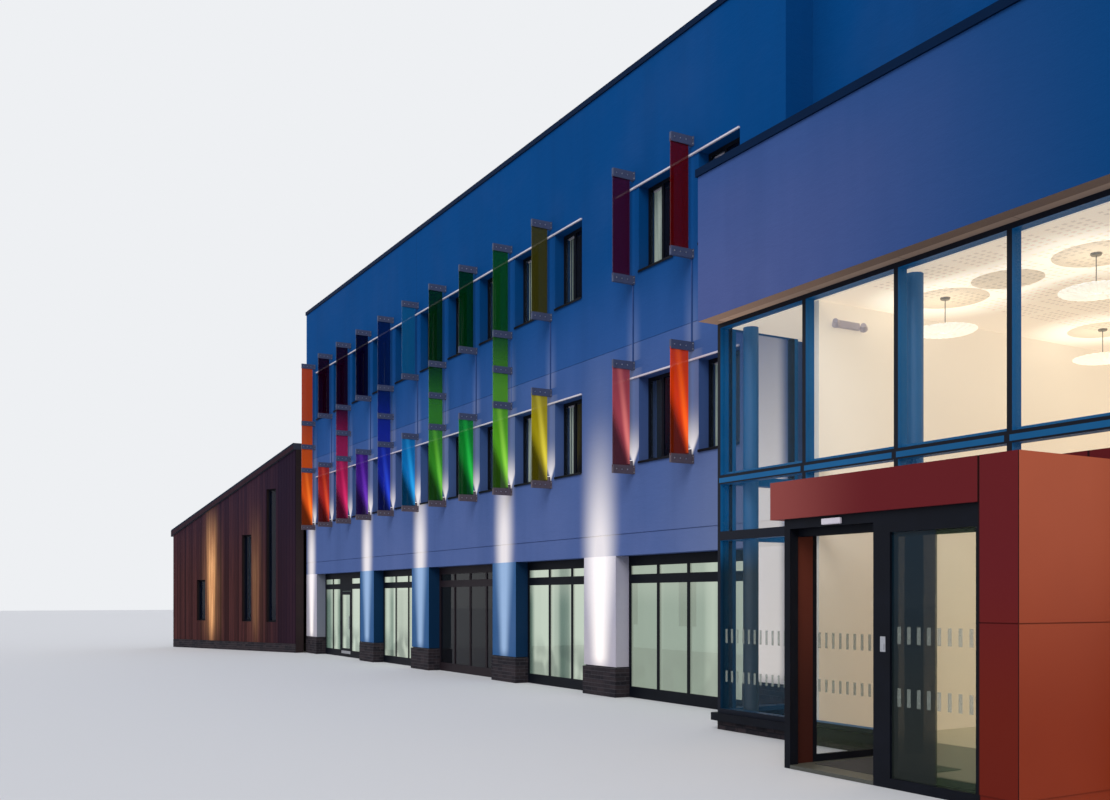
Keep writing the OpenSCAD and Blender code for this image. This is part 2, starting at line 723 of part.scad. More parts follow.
// The returns of the glass front run back to the block's front wall
module return_frame(x) difference() {
    block([x, -hall_out + mullion_d - weld, hall_sill_z], [x + mullion_d, 0, soffit_z]);
    for (row = hall_rows)
        block([x - cut, return_ys[0], row[0] + mullion_w], [x + mullion_d + cut, return_ys[1], row[1]]);
}

module hall_frame() color("midnightblue") placed() difference() {
    union() {
        difference() {
            block([hall_x, -hall_out, hall_sill_z], [hall_right, -hall_out + mullion_d, soffit_z]);
            for (bay = hall_bays, row = hall_rows)
                block([bay[0], -hall_out - cut, row[0] + mullion_w],
                      [bay[1], -hall_out + mullion_d + cut, row[1]]);
        }
        for (x = return_xs) return_frame(x);
    }
    portal_hole();
}

module hall_glass() color("lightblue", 0.3) placed() difference() {
    union() {
        for (bay = hall_bays, row = hall_rows)
            block([bay[0], front_glass_y, row[0] + mullion_w], [bay[1], front_glass_y + glass_t, row[1]]);
        for (x = [hall_x + glass_in, hall_right - glass_in - glass_t], row = hall_rows)
            block([x, return_ys[0], row[0] + mullion_w], [x + glass_t, return_ys[1], row[1]]);
    }
    portal_hole();
}

// Brick base and dark sill under the glass, on each side of the portal
module hall_base() color("darkslategray") placed() difference() {
    union() {
        block([hall_x, -hall_out, 0], [hall_right, -hall_out + mullion_d, base_h]);
        block([hall_x, -hall_out, 0], [hall_x + mullion_d, 0, base_h]);
        block([hall_right - mullion_d, -hall_out, 0], [hall_right, 0, base_h]);
        block([hall_x - hall_sill_out, -hall_out - hall_sill_out, base_h],
              [hall_right, -hall_out + mullion_d, hall_sill_z]);
        block([hall_x - hall_sill_out, -hall_out, base_h], [hall_x, -plinth_out, hall_sill_z]);
        block([hall_x, -hall_out, base_h], [hall_x + mullion_d, 0, hall_sill_z]);
        block([hall_right - mullion_d, -hall_out, base_h], [hall_right, 0, hall_sill_z]);
    }
    block([post_x, -hall_out - hall_sill_out - cut, -cut],
          [portal_right, -hall_out + mullion_d + cut, portal_h]);
    block([portal_right - cut, -hall_out - hall_sill_out - cut, -cut],
          [portal_right + fit, -hall_out, portal_h]);
}

module hall_fascia() color("whitesmoke") placed() difference() {
    block([hall_fascia_x, -fascia_out, soffit_z], [total_len, 0, fascia_top - coping_h]);
    block([hall_fascia_x + fascia_t, -fascia_out + fascia_t, soffit_z - cut],
          [total_len - fascia_t, cut, fascia_top]);
}

module hall_roof() color("antiquewhite") placed() union() {
    block([hall_fascia_x + fascia_t, -fascia_out + fascia_t, soffit_z],
          [total_len - fascia_t, weld, roof_top]);
    block([low_len, 0, soffit_z], [total_len, setback + wall, roof_top]);
}

module hall_columns() color("silver") placed() for (x = column_xs)
    translate([x, -hall_out + column_back, ground_t]) cylinder(h = ceiling_z - ground_t, r = column_r);

module hall_ceiling() color("ivory") placed() union() {
    block([hall_x + mullion_d, -hall_out + mullion_d, ceiling_z], [hall_right - mullion_d, 0, soffit_z]);
    block([low_len, 0, ceiling_z], [total_len - wall, setback + wall, soffit_z]);
    block([hall_x + mullion_d, -weld, ceiling_z], [total_len - wall, weld, soffit_z]);
    block([block_len + partition_x, setback + wall - weld, ceiling_z],
          [total_len - wall, block_depth - wall, soffit_z]);
}

module hall_partition() color("ivory") placed()
    block([block_len + partition_x, -hall_out + mullion_d, ground_t],
          [block_len + partition_x + partition_t, block_depth - wall, ceiling_z]);

// Disc lamps that hang on rods from the hall ceiling
module pendant_lamps() color("white") placed() for (x = lamp_xs, y = lamp_ys)
    translate([x, y, ceiling_z - lamp_drop]) union() {
        cylinder(h = lamp_t, r1 = lamp_r - lamp_t, r2 = lamp_r);
        cylinder(h = lamp_drop, r = lamp_rod_r);
    }

// Red cladding: the beam over the doors and the panelled leg and side
module portal_beam() color("firebrick") placed() union() {
    block([portal_left, -portal_out, beam_z], [leg_x, -portal_out + panel_t, portal_h]);
    block([portal_left, -portal_out + panel_t - weld, beam_z], [portal_left + panel_t, side_y, portal_h]);
    for (layer = [[beam_z, beam_z + lobby_ceiling_t], [portal_h - panel_t, portal_h]]) {
        block([portal_left + panel_t - weld, -portal_out + panel_t - weld, layer[0]],
              [leg_x, side_y, layer[1]]);
        block([leg_x - weld, -portal_out + panel_t, layer[0]], [portal_right - panel_t, side_y, layer[1]]);
    }
    block([portal_left, side_y - panel_t / 2, portal_h], [portal_right, side_y, portal_h + flashing_h]);
}

// The leg and side panel are scored by a shadow joint, and a narrow panel backs the left post
module portal_side() color("indianred") placed() {
    difference() {
        union() {
            block([leg_x, -portal_out, cladding_z], [portal_right, -portal_out + panel_t, portal_h]);
            block([portal_right - panel_t, -portal_out, cladding_z], [portal_right, side_y, portal_h]);
            block([leg_x + panel_joint, -portal_out + panel_joint, 0],
                  [portal_right - panel_joint, -portal_out + panel_t, cladding_z + weld]);
            block([portal_right - panel_t, -portal_out + panel_t - weld, 0],
                  [portal_right - panel_joint, side_y, cladding_z + weld]);
        }
        block([leg_x - cut, -portal_out - cut, leg_joint_z],
              [portal_right + cut, -portal_out + panel_joint, leg_joint_z + panel_joint]);
        block([portal_right - panel_joint, -portal_out - cut, leg_joint_z],
              [portal_right + cut, side_y + cut, leg_joint_z + panel_joint]);
        block([leg_x - cut, -portal_out - cut, 0],
              [leg_x + panel_joint, -portal_out + panel_joint, portal_h + cut]);
    }
    block([post_x, door_y + post_d, 0], [post_x + post_w / 2, door_y + post_d + left_panel_w, beam_z]);
}

// Door posts, head, fixed screen frame, left side screen frame and the track of the sliding leaf
module entrance_frame() color("black") placed() {
    union() {
        block([post_x, door_y, 0], [door_x, door_y + post_d, door_head]);
        block([middle_x, door_y, 0], [screen_x, door_y + post_d, door_head]);
        block([post_x, door_y, door_head], [leg_x, door_y + post_d, beam_z]);
        block([screen_x - weld, door_y, screen_head], [leg_x, door_y + post_d, beam_z]);
        block([screen_x, door_y, 0], [leg_x, door_y + post_d, ground_t + stile_w]);
        block([leg_x - stile_w, door_y, 0], [leg_x, door_y + post_d, door_head]);
    }
    difference() {
        block([post_x, screen_y, 0], [post_x + post_w / 2, screen_end_y, beam_z]);
        block([post_x - cut, screen_y + stile_w, 2 * stile_w],
              [post_x + post_w + cut, screen_end_y - stile_w, beam_z - stile_w]);
    }
    leaf_track();
}

// An open-bottomed track housing with the rail that the leaf's rollers run on
module leaf_track() union() {
    difference() {
        block([track_x[0], track_y[0], track_foot_z], [track_x[1], track_y[1], beam_z]);
        block([track_x[0] + track_wall, leaf_y - track_gap, track_foot_z - cut],
              [track_x[1] - track_wall, track_y[1] - track_wall, beam_z - track_wall]);
    }
    block([track_x[0] + weld, roller_y + roller_gap, rail_z - track_wall],
          [track_x[1] - weld, track_y[1] - weld, rail_z]);
}

module entrance_glass() color("lightblue", 0.3) placed() {
    block([screen_x, door_y + screen_glass_in, ground_t + stile_w],
          [leg_x - stile_w, door_y + screen_glass_in + glass_t, screen_head]);
    block([post_x + side_glass_in, screen_y + stile_w, 2 * stile_w],
          [post_x + side_glass_in + glass_t, screen_end_y - stile_w, beam_z - stile_w]);
}

// The sliding leaf stands open behind the fixed screen, hangs on two rollers and slides left to close
module sliding_leaf() color("black") placed() union() {
    difference() {
        block([leaf_open, leaf_y, leaf_base], [leaf_open + leaf_w, leaf_y + leaf_t, leaf_top]);
        block([leaf_open + stile_w, leaf_y - cut, leaf_base + 2 * stile_w],
              [leaf_open + leaf_w - stile_w, leaf_y + leaf_t + cut, leaf_top - stile_w]);
    }
    for (x = [leaf_open + hanger_in, leaf_open + leaf_w - hanger_in]) {
        block([x - roller_r, leaf_y + (leaf_t - hanger_t) / 2, leaf_top - weld],
              [x + roller_r, leaf_y + (leaf_t + hanger_t) / 2, rail_z + 2 * roller_r]);
        translate([x, roller_y + roller_t, rail_z + roller_r + fit]) rotate([90, 0, 0])
            cylinder(h = roller_t + weld, r = roller_r);
    }
}

module sliding_leaf_glass() color("lightblue", 0.3) placed()
    block([leaf_open + stile_w, leaf_y + (leaf_t - glass_t) / 2, leaf_base + 2 * stile_w],
          [leaf_open + leaf_w - stile_w, leaf_y + (leaf_t + glass_t) / 2, leaf_top - stile_w]);

// Height of the wing roof's underside at a distance from the block
function wing_z(x) = ridge_z - wing_roof_t + (ridge_z - eaves_z) * x / -wing_left;

// A wall standing on a plan outline and cut off by the sloping roof
module under_roof(points) intersection() {
    linear_extrude(ridge_z) polygon(points);
    rotate([90, 0, 0]) translate([0, 0, -wing_back - cut])
        linear_extrude(wing_back + 2 * cut - wing_far_y)
            polygon([[wing_left - cut, 0], [cut, 0], [cut, wing_z(cut) - fit],
                     [wing_left - cut, wing_z(wing_left - cut) - fit]]);
}

// Inner corners of the wing's splayed front
inner_front_right = [0, -wing_proud + wing_wall / cos(wing_angle)];
inner_front_left = [wing_left + wing_wall, wing_far_y + wing_wall * (1 / cos(wing_angle) + tan(wing_angle))];

// Runs along the wing front from the block, with the outer face as its zero
module along_front() translate([0, -wing_proud, 0]) rotate(180 + wing_angle) children();

module wing_walls() color("saddlebrown") placed() {
    difference() {
        under_roof([[0, -wing_proud], inner_front_right, inner_front_left, [wing_left, wing_far_y]]);
        along_front() for (i = [0:2])
            slit(i, [0, -wing_wall - cut, 0], [0, cut, 0]);
    }
    under_roof([[wing_left, wing_far_y], inner_front_left, [wing_left + wing_wall, wing_back],
                [wing_left, wing_back]]);
    under_roof([[wing_left + wing_wall, wing_back - wing_wall], [0, wing_back - wing_wall], [0, wing_back],
                [wing_left + wing_wall, wing_back]]);
}

module wing_roof() color("dimgray") placed() difference() {
    rotate([90, 0, 0]) translate([0, 0, -wing_back - verge])
        linear_extrude(wing_back + 2 * verge - wing_far_y)
            polygon([[wing_left - verge, wing_z(wing_left - verge)], [0, wing_z(0)], [0, ridge_z],
                     [wing_left - verge, wing_z(wing_left - verge) + wing_roof_t]]);
    along_front() block([-2 * wing_front, verge, 0], [2 * wing_front, wing_front, 2 * ridge_z]);
}

module wing_plinth() color("dimgray") placed() along_front()
    block([0, 0, 0], [wing_front, plinth_out, wing_plinth_h]);

ground_floor();
white_piers();
blue_piers();
pier_plinths();
lower_front_wall();
upper_front_wall();
set_back_wall();
end_walls();
back_wall();
upper_floors();
roof_deck();
copings();
window_frames();
window_glass();
drip_trims();
ground_frames();
ground_glass();
side_door_frame();
side_door_glass();
fin_brackets();
fin_uplights();
fin_glass_1();
fin_glass_2();
fin_glass_3();
fin_glass_4();
fin_glass_5();
fin_glass_6();
fin_glass_7();
fin_glass_8();
fin_glass_9();
fin_glass_10();
fin_glass_11();
fin_glass_12();
hall_frame();
hall_glass();
hall_base();
hall_fascia();
hall_roof();
hall_columns();
hall_ceiling();
hall_partition();
pendant_lamps();
portal_beam();
portal_side();
entrance_frame();
entrance_glass();
sliding_leaf();
sliding_leaf_glass();
wing_walls();
wing_roof();
wing_plinth();
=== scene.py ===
import math
import random

import bpy
from mathutils import Matrix, Vector


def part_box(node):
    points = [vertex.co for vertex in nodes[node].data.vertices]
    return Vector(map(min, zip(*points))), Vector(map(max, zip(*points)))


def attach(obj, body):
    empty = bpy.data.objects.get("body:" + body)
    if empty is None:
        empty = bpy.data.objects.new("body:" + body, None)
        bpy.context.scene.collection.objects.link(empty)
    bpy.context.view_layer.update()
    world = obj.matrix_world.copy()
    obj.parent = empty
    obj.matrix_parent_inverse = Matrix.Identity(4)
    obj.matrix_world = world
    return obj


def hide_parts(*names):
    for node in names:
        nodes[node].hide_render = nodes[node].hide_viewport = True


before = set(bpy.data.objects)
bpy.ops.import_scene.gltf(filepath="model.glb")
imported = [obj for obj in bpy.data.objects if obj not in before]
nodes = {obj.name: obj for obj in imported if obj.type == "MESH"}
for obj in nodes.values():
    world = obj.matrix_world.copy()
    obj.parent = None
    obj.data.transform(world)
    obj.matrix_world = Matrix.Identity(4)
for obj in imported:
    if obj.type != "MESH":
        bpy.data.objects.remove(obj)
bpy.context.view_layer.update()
random.seed(5)

# The view: a camera at eye height off the right end of the front, looking level along the front,
# on a plain pale floor under soft light. Places are given from the block's front left corner.
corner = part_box("lower_front_wall")[0]


def place(x, y, z):
    """A point x along the front, y behind it and z above ground."""
    return Vector((corner.x + x, corner.y + y, z))


def paint(red, green, blue):
    """A colour as mixed on screen, in the linear values that colour sockets take."""
    def linear(value):
        value /= 255
        return value / 12.92 if value <= 0.04045 else ((value + 0.055) / 1.055) ** 2.4
    return (linear(red), linear(green), linear(blue), 1)


quarter_turn = math.radians(90)

sensor_w, view_w, focal_length, horizon_drop = 36, 1110, 1088.3, 197.5
camera_lens = bpy.data.cameras.new("camera")
camera_lens.sensor_width = sensor_w
camera_lens.lens = sensor_w * focal_length / view_w
camera_lens.shift_y = horizon_drop / view_w
camera_lens.clip_end = 400
camera = bpy.data.objects.new("camera", camera_lens)
camera.location = place(36.88, -11.28, 1.9)
camera.rotation_euler = (quarter_turn, 0, math.atan2(0.8672, 0.4980))
bpy.context.scene.collection.objects.link(camera)
bpy.context.scene.camera = camera
bpy.context.scene.view_settings.view_transform = "Standard"

sun_light = bpy.data.lights.new("soft_sun", "SUN")
sun_light.energy = 1.55
sun_light.angle = math.radians(35)
sun_light.color = (1, 0.98, 0.95)
sun = bpy.data.objects.new("soft_sun", sun_light)
sun.rotation_euler = (math.radians(52), 0, math.radians(38))
bpy.context.scene.collection.objects.link(sun)

world = bpy.data.worlds.new("studio")
world.use_nodes = True
bpy.context.scene.world = world
sky = world.node_tree
sky_path = sky.nodes.new("ShaderNodeLightPath")
seen = sky_path.outputs["Is Camera Ray"]
for ray in ("Is Glossy Ray", "Is Transmission Ray"):
    either = sky.nodes.new("ShaderNodeMath")
    either.operation = "MAXIMUM"
    sky.links.new(seen, either.inputs[0])
    sky.links.new(sky_path.outputs[ray], either.inputs[1])
    seen = either.outputs[0]
sky_mix = sky.nodes.new("ShaderNodeMix")
sky_mix.data_type = "RGBA"
sky_mix.inputs[6].default_value = (0.62, 0.64, 0.68, 1)
sky_mix.inputs[7].default_value = paint(238, 240, 243)
sky.links.new(seen, sky_mix.inputs[0])
sky.links.new(sky_mix.outputs[2], sky.nodes["Background"].inputs["Color"])

bpy.ops.object.select_all(action="DESELECT")
bpy.ops.mesh.primitive_plane_add(size=300, location=(0, 0, -0.002))
ground = bpy.context.object
ground.name = "ground"
ground.data.materials.append(bpy.data.materials.new("pale_floor"))
ground.data.materials[0].use_nodes = True
floor_shader = ground.data.materials[0].node_tree.nodes["Principled BSDF"]
floor_shader.inputs["Base Color"].default_value = paint(214, 215, 219)
floor_shader.inputs["Roughness"].default_value = 0.9


# Rendered walls: blockwork under a through-coloured lime render, trowelled flat, with a fine grain.
# At dusk it reads lavender near the ground and blue higher up, a change of tone painted as the
# light of the lamps below and of the dusk sky. White light climbs the piers from the ground, and
# small lamps at the feet of the fins throw more up the wall beside them; both lights are painted on
# as a glow.
class Wire:
    """One output of a finish's nodes, used in sums."""
    def __init__(self, finish, socket):
        self.finish, self.socket = finish, socket

    def __add__(self, other):
        return self.finish.sum("ADD", self, other)

    def __sub__(self, other):
        return self.finish.sum("SUBTRACT", self, other)

    def __mul__(self, other):
        return self.finish.sum("MULTIPLY", self, other)

    def __truediv__(self, other):
        return self.finish.sum("DIVIDE", self, other)

    def __radd__(self, other):
        return self.finish.sum("ADD", other, self)

    def __rsub__(self, other):
        return self.finish.sum("SUBTRACT", other, self)

    def __rmul__(self, other):
        return self.finish.sum("MULTIPLY", other, self)

    def __pow__(self, other):
        return self.finish.sum("POWER", self, other)

    def __abs__(self):
        return self.finish.sum("ABSOLUTE", self)

    def __gt__(self, other):
        return self.finish.sum("GREATER_THAN", self, other)

    def __lt__(self, other):
        return self.finish.sum("LESS_THAN", self, other)


class Finish:
    """A procedural material: a surface shader and the nodes that feed it."""
    def __init__(self, name, roughness, specular=0.5, **surface):
        self.material = bpy.data.materials.new(name)
        self.material.use_nodes = True
        self.tree = self.material.node_tree
        self.shader = self.tree.nodes["Principled BSDF"]
        self.feed(Roughness=roughness, Specular_IOR_Level=specular, **surface)

    def connect(self, socket, value):
        """Links a wire to a socket, or sets the socket to a number, vector or screen colour."""
        if isinstance(value, Wire):
            self.tree.links.new(value.socket, socket)
        else:
            socket.default_value = paint(*value) if socket.type == "RGBA" else value

    def feed(self, **sockets):
        """Sets sockets of the surface shader; an underscore stands for a space."""
        for socket, value in sockets.items():
            self.connect(self.shader.inputs[socket.replace("_", " ")], value)

    def add(self, kind, settings=None, sockets=None, output=0):
        """Adds a node of a type, with its settings first and then its sockets."""
        node = self.tree.nodes.new(kind)
        for setting, value in (settings or {}).items():
            setattr(node, setting, value)
        for socket, value in (sockets or {}).items():
            self.connect(node.inputs[socket], value)
        return Wire(self, node.outputs[output])

    def sum(self, operation, *values):
        return self.add("ShaderNodeMath", {"operation": operation}, dict(enumerate(values)))

    def places(self):
        """Distances along the front, behind it and above ground."""
        spot = self.add("ShaderNodeTexCoord", output="Object")
        parts = [self.add("ShaderNodeSeparateXYZ", None, {0: spot}, i) for i in range(3)]
        return parts[0] - corner.x, parts[1] - corner.y, parts[2]

    def facing(self):
        """Which way the surface faces, as x, y and z."""
        way = self.add("ShaderNodeTexCoord", output="Normal")
        return [self.add("ShaderNodeSeparateXYZ", None, {0: way}, i) for i in range(3)]

    def noise(self, scale, detail=3.0, rough=0.55, stretch=(1, 1, 1)):
        spot = self.add("ShaderNodeTexCoord", output="Object")
        spot = self.add("ShaderNodeMapping", None, {"Vector": spot, "Scale": stretch})
        return self.add("ShaderNodeTexNoise", None,
                        {"Vector": spot, "Scale": scale, "Detail": detail, "Roughness": rough})

    def chance(self, value):
        """A number from 0 to 1 that is the same for the same whole number."""
        return self.add("ShaderNodeTexWhiteNoise", {"noise_dimensions": "1D"}, {"W": value},
                        "Value")


def rise(value, low, high):
    """0 below the low value and 1 above the high one, with a soft change between."""
    return value.finish.add("ShaderNodeMapRange", {"interpolation_type": "SMOOTHSTEP"},
                            {"Value": value, "From Min": low, "From Max": high})


def mix(share, first, second):
    """Two colours mixed, all of the second where the share is 1."""
    return share.finish.add("ShaderNodeMix", {"data_type": "RGBA"},
                            {0: share, 6: first, 7: second}, 2)


def capped(value):
    """A value cut down to 1 where it is more."""
    return value.finish.sum("MINIMUM", value, 1.0)


def relief(height, depth, strength, over=None):
    """A surface that stands out with height, on top of another relief if one is given."""
    sockets = {"Height": height, "Distance": depth, "Strength": strength}
    if over:
        sockets["Normal"] = over
    return height.finish.add("ShaderNodeBump", None, sockets)


def coat(finish, *names):
    """Gives CAD nodes a finish."""
    for name in names:
        mesh = nodes[name].data
        if not nodes[name].material_slots:
            mesh.materials.append(finish.material)
        for slot in nodes[name].material_slots:
            slot.material = finish.material


pier_centres = [0.575, 5.995, 10.055, 14.915, 18.975, 23.875]
bay_first, bay_pitch, bay_right = 0.95, 1.79, 20.15
bay_xs = [bay_first + bay_pitch * i for i in range(10)] + [bay_right, bay_right + bay_pitch]
right_bays, hall_left = 19.0, 26.2
black = (0, 0, 0)


def render_finish(name, low_tone, high_tone, low_z, high_z, cloudy=0.14):
    """Fine-grained render whose tone changes with height as painted light, clouded and faintly
    streaked by rain.
    """
    finish = Finish(name, 0.9, 0.06)
    x, y, z = finish.places()
    clouds = finish.noise(0.35, 4, 0.6)
    streaks = finish.noise(1.2, 3, 0.6, (1, 1, 0.08))
    colour = mix(rise(z + (clouds - 0.5) * 2.5, low_z, high_z), low_tone, high_tone)
    colour = mix(rise(streaks, 0.35, 0.85) * 0.18, colour, (8, 40, 80))
    colour = mix(rise(clouds, 0.4, 0.8) * cloudy, colour, (134, 142, 190))
    grain = finish.noise(55, 5, 0.7)
    trowel = finish.noise(3.2, 4, 0.6, (1, 1, 3.0))
    bump = relief(trowel, 0.014, 0.45)
    finish.feed(Normal=relief(grain, 0.004, 0.5, bump))
    finish.colour = mix((grain - 0.5) * 0.18 + 0.05, colour, (0, 30, 66))
    finish.feed(Base_Color=finish.colour)
    return finish, x, y, z


def pier_glow(finish, x, z, first, last):
    """White light thrown up some piers: narrow at the foot, wider above, fading with height."""
    spread = 0.28 + 0.34 * rise(z, 0.2, 3.6)
    wide_spread = 0.40 + 0.42 * rise(z, 0.4, 3.2)
    glow = 0.0
    for i in range(first, last):
        off = abs(x - pier_centres[i])
        if i == 5:
            core = rise(0.36 - off, -0.13, 0.17) * (1 - rise(z, 2.9, 8.2))
        elif i == 4:
            core = (1 - rise(off, 0.0, wide_spread)) * (1 - rise(z, 2.5, 5.7))
            core = (1 - rise(off, 0.0, 0.9)) * 0.06 * (1 - rise(z, 4.5, 7.8)) + core
        else:
            core = (1 - rise(off, 0.0, spread)) * (1 - rise(z, 3.2, 5.6))
        edge = (1 - rise(off, 0.2, 0.75)) * 0.08 * (1 - rise(z, 2.6, 4.6))
        glow = core + edge + glow
    return glow * rise(z, 0.40, 0.80)


def fin_glow(finish, x, z):
    """The flame of light from each lamp at a fin's foot, and what passes the upper bracket."""
    right = x > right_bays
    off = x - bay_first - right * (bay_right - bay_first)
    near = abs(finish.sum("WRAP", off, bay_pitch / 2, -bay_pitch / 2))
    up = z - 4.33
    half = finish.sum("MINIMUM", 0.012 + 0.62 * up, 0.30)
    flame = rise(half - near, -0.02, 0.08) * (1 - 0.45 * rise(near, 0.05, 0.28))
    flame = flame * ((1 - rise(up, 0.0, 1.15)) ** 2 * 0.95 + 0.07) * (up > 0) * (z < 6.12)
    # Above the lower fin's top bracket the light leaves a thin gap on the fin's axis, the bracket's
    # painted shadow.
    above = rise(0.30 - near, 0.0, 0.26) * (near > 0.018) * (z > 6.27)
    above = above * 0.09 * (1 - rise(z, 6.3, 7.8))
    between = (x < 17.9) + right * (x < 22.6)
    return (flame + above) * between * (x > 0.2)


wall_finish, x, y, z = render_finish("lit_render", (80, 101, 154), (56, 90, 150), 3.0, 7.2)
front_side = (wall_finish.facing()[1] < -0.5) * (y < 0.02)
glow = (pier_glow(wall_finish, x, z, 0, 6) + fin_glow(wall_finish, x, z)) * front_side
# The wall is painted lighter low down towards the right end, as light from the lit hall.
lit_right_end = rise(x, 20.5, 24.5) * (1 - rise(z, 3.0, 6.6)) * front_side
wall_finish.feed(
    Base_Color=mix(lit_right_end * 0.22, wall_finish.colour, (196, 200, 214)),
    Emission_Color=mix(capped(glow), black, (255, 242, 220)), Emission_Strength=0.75)
coat(wall_finish, "lower_front_wall")

upper_finish, x, y, z = render_finish("upper_render", (46, 86, 148), (0, 70, 132), 6.0, 8.8, 0.03)
joints = 0.0
for joint_x in (1.25, 9.8):
    joints = (abs(x - joint_x) < 0.006) + joints
inside = (upper_finish.facing()[1] > 0.5) * (y > 0.3) * (y < 1.0)
upper_colour = mix(joints * 0.5, upper_finish.colour, (16, 26, 50))
upper_finish.feed(Base_Color=mix(inside, upper_colour, (150, 154, 165)))
above_glow = fin_glow(upper_finish, x, z) * (upper_finish.facing()[1] < -0.5) * (y < 0.02)
upper_finish.feed(Emission_Color=mix(above_glow, black, (235, 235, 255)), Emission_Strength=0.75)
coat(upper_finish, "upper_front_wall", "set_back_wall")

fascia_finish, x, y, z = render_finish("fascia_render", (78, 92, 146), (54, 84, 142), 5.8, 8.6)
# The fascia's underside glows with painted light from below, brightest at the left and fading to
# the right.
under = fascia_finish.facing()[2] < -0.5
fascia_colour = mix(rise(x, 25.0, 31.5), fascia_finish.colour, (0, 64, 120))
fascia_finish.feed(
    Base_Color=mix(under, fascia_colour, (120, 102, 92)),
    Emission_Color=mix(under, black, mix(rise(x, 24.3, 28.0), (150, 118, 98), (44, 36, 32))),
    Emission_Strength=0.5)
coat(fascia_finish, "hall_fascia")

white_finish, x, y, z = render_finish("white_pier_render", (186, 180, 190), (176, 174, 192),
                                      0.5, 3.0)
front_side = white_finish.facing()[1] < -0.5
shady = (white_finish.facing()[0] > 0.5) * (x < 2.0)
white_finish.feed(Base_Color=mix(shady * 0.7, white_finish.colour, (84, 96, 110)))
white_glow = pier_glow(white_finish, x, z, 0, 6) * front_side
white_finish.feed(
    Emission_Color=mix(capped(white_glow), black, (255, 246, 232)), Emission_Strength=0.7)
coat(white_finish, "white_piers")

blue_finish, x, y, z = render_finish("blue_pier_render", (44, 88, 138), (50, 96, 146), 0.5, 3.0)
front_side = blue_finish.facing()[1] < -0.5
blue_glow = pier_glow(blue_finish, x, z, 1, 4) * front_side
# The piers' faces towards the right are painted darker, as shade.
shaded_blue_side = blue_finish.facing()[0] > 0.5
blue_finish.feed(
    Base_Color=mix(shaded_blue_side * 0.85, blue_finish.colour, (0, 30, 56)),
    Emission_Color=mix(capped(blue_glow), black, (160, 180, 202)), Emission_Strength=0.8)
coat(blue_finish, "blue_piers")

# The end and back walls have the same render outside; inside, the rooms are painted, and the
# entrance hall and the ground floor glow with painted light.
outer_finish, x, y, z = render_finish("end_render", (88, 106, 160), (24, 80, 140), 2.5, 10.0)
inside = (y > 0.35) * (y < 11.65) * (x > 0.35) * (x < 30.65)
hall_side = (x > hall_left) * (z < 5.8)
ground_rooms = (x < hall_left) * (z < 3.25)
outer_finish.feed(Base_Color=mix(inside, outer_finish.colour,
                                 mix(hall_side, (96, 102, 110), (216, 204, 184))))
lit = mix(hall_side, mix(ground_rooms, black, (150, 172, 160)), (208, 192, 166))
outer_finish.feed(Emission_Color=mix(inside, black, lit), Emission_Strength=0.55)
coat(outer_finish, "end_walls", "back_wall")

# Brick plinths: dark engineering bricks 215 by 65 mm in a stretcher bond with 10 mm pale joints,
# at the pier feet, along the wing and under the glass front. The CAD face behind is the mortar.
mortar_finish = Finish("mortar", 0.95)
mortar_grain = mortar_finish.noise(120, 4)
mortar_finish.feed(
    Base_Color=mix(mortar_grain, (44, 42, 50), (70, 66, 72)),
    Normal=relief(mortar_grain, 0.002, 0.6))
coat(mortar_finish, "pier_plinths", "wing_plinth")


def only(*pieces):
    """Selects these pieces and nothing else."""
    bpy.ops.object.select_all(action="DESELECT")
    for piece in pieces:
        piece.select_set(True)
    bpy.context.view_layer.objects.active = pieces[-1]


def soften(width, segments=1):
    """Bevels every edge of the selected piece."""
    bpy.ops.object.mode_set(mode="EDIT")
    bpy.ops.mesh.select_all(action="SELECT")
    bpy.ops.mesh.bevel(offset=width, segments=segments, affect="EDGES")
    bpy.ops.object.mode_set(mode="OBJECT")


def block(low, high, rounding=0.0, segments=1):
    """A box between two corners with rounded edges, from a cube at its size and place."""
    bpy.ops.object.select_all(action="DESELECT")
    bpy.ops.mesh.primitive_cube_add(size=1, location=[(a + b) / 2 for a, b in zip(low, high)])
    piece = bpy.context.object
    piece.scale = [b - a for a, b in zip(low, high)]
    bpy.ops.object.transform_apply(location=True, rotation=True, scale=True)
    if rounding:
        soften(rounding, segments)
    return piece


def joined(*pieces):
    """Joins pieces into one."""
    only(*pieces)
    if len(pieces) > 1:
        bpy.ops.object.join()
    return bpy.context.object


def repeated(piece, moves):
    """Copies a piece to each place, each with its own mesh, and joins the copies."""
    made = []
    for step in moves:
        copy = bpy.data.objects.new(piece.name, piece.data.copy())
        copy.data.transform(step)
        bpy.context.scene.collection.objects.link(copy)
        made.append(copy)
    bpy.data.objects.remove(piece)
    return joined(*made)


def mount(piece, name, finish, body="building"):
    """Names a finished piece, gives it its finish and slot and fixes it to its body."""
    piece.name = piece.data.name = name
    piece.data.materials.clear()
    piece.data.materials.append(finish.material)
    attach(piece, body)
    return piece


brick_l, brick_h, brick_joint, brick_proud, brick_back = 0.215, 0.065, 0.010, 0.004, 0.012
shortest_brick = 0.03


def brick_face(origin, turn, length, height):
    """Where the bricks of one wall face go: a matrix for each, cut to fit at the ends."""
    rows = max(1, round(height / (brick_h + brick_joint)))
    course_h = height / rows
    moves = []
    for row in range(rows):
        start = -(brick_l + brick_joint) / 2 * (row % 2)
        while start < length - shortest_brick:
            low, high = max(start, 0.0), min(start + brick_l, length)
            if high - low > shortest_brick:
                size = ((high - low) / brick_l, 1, (course_h - brick_joint) / brick_h, 1)
                moves.append(Matrix.Translation(origin) @ Matrix.Rotation(turn, 4, "Z")
                             @ Matrix.Translation((low, 0, row * course_h + brick_joint / 2))
                             @ Matrix.Diagonal(size))
            start += brick_l + brick_joint
    return moves


def whole(value):
    """The whole number at or below a value."""
    return value.finish.sum("FLOOR", value)


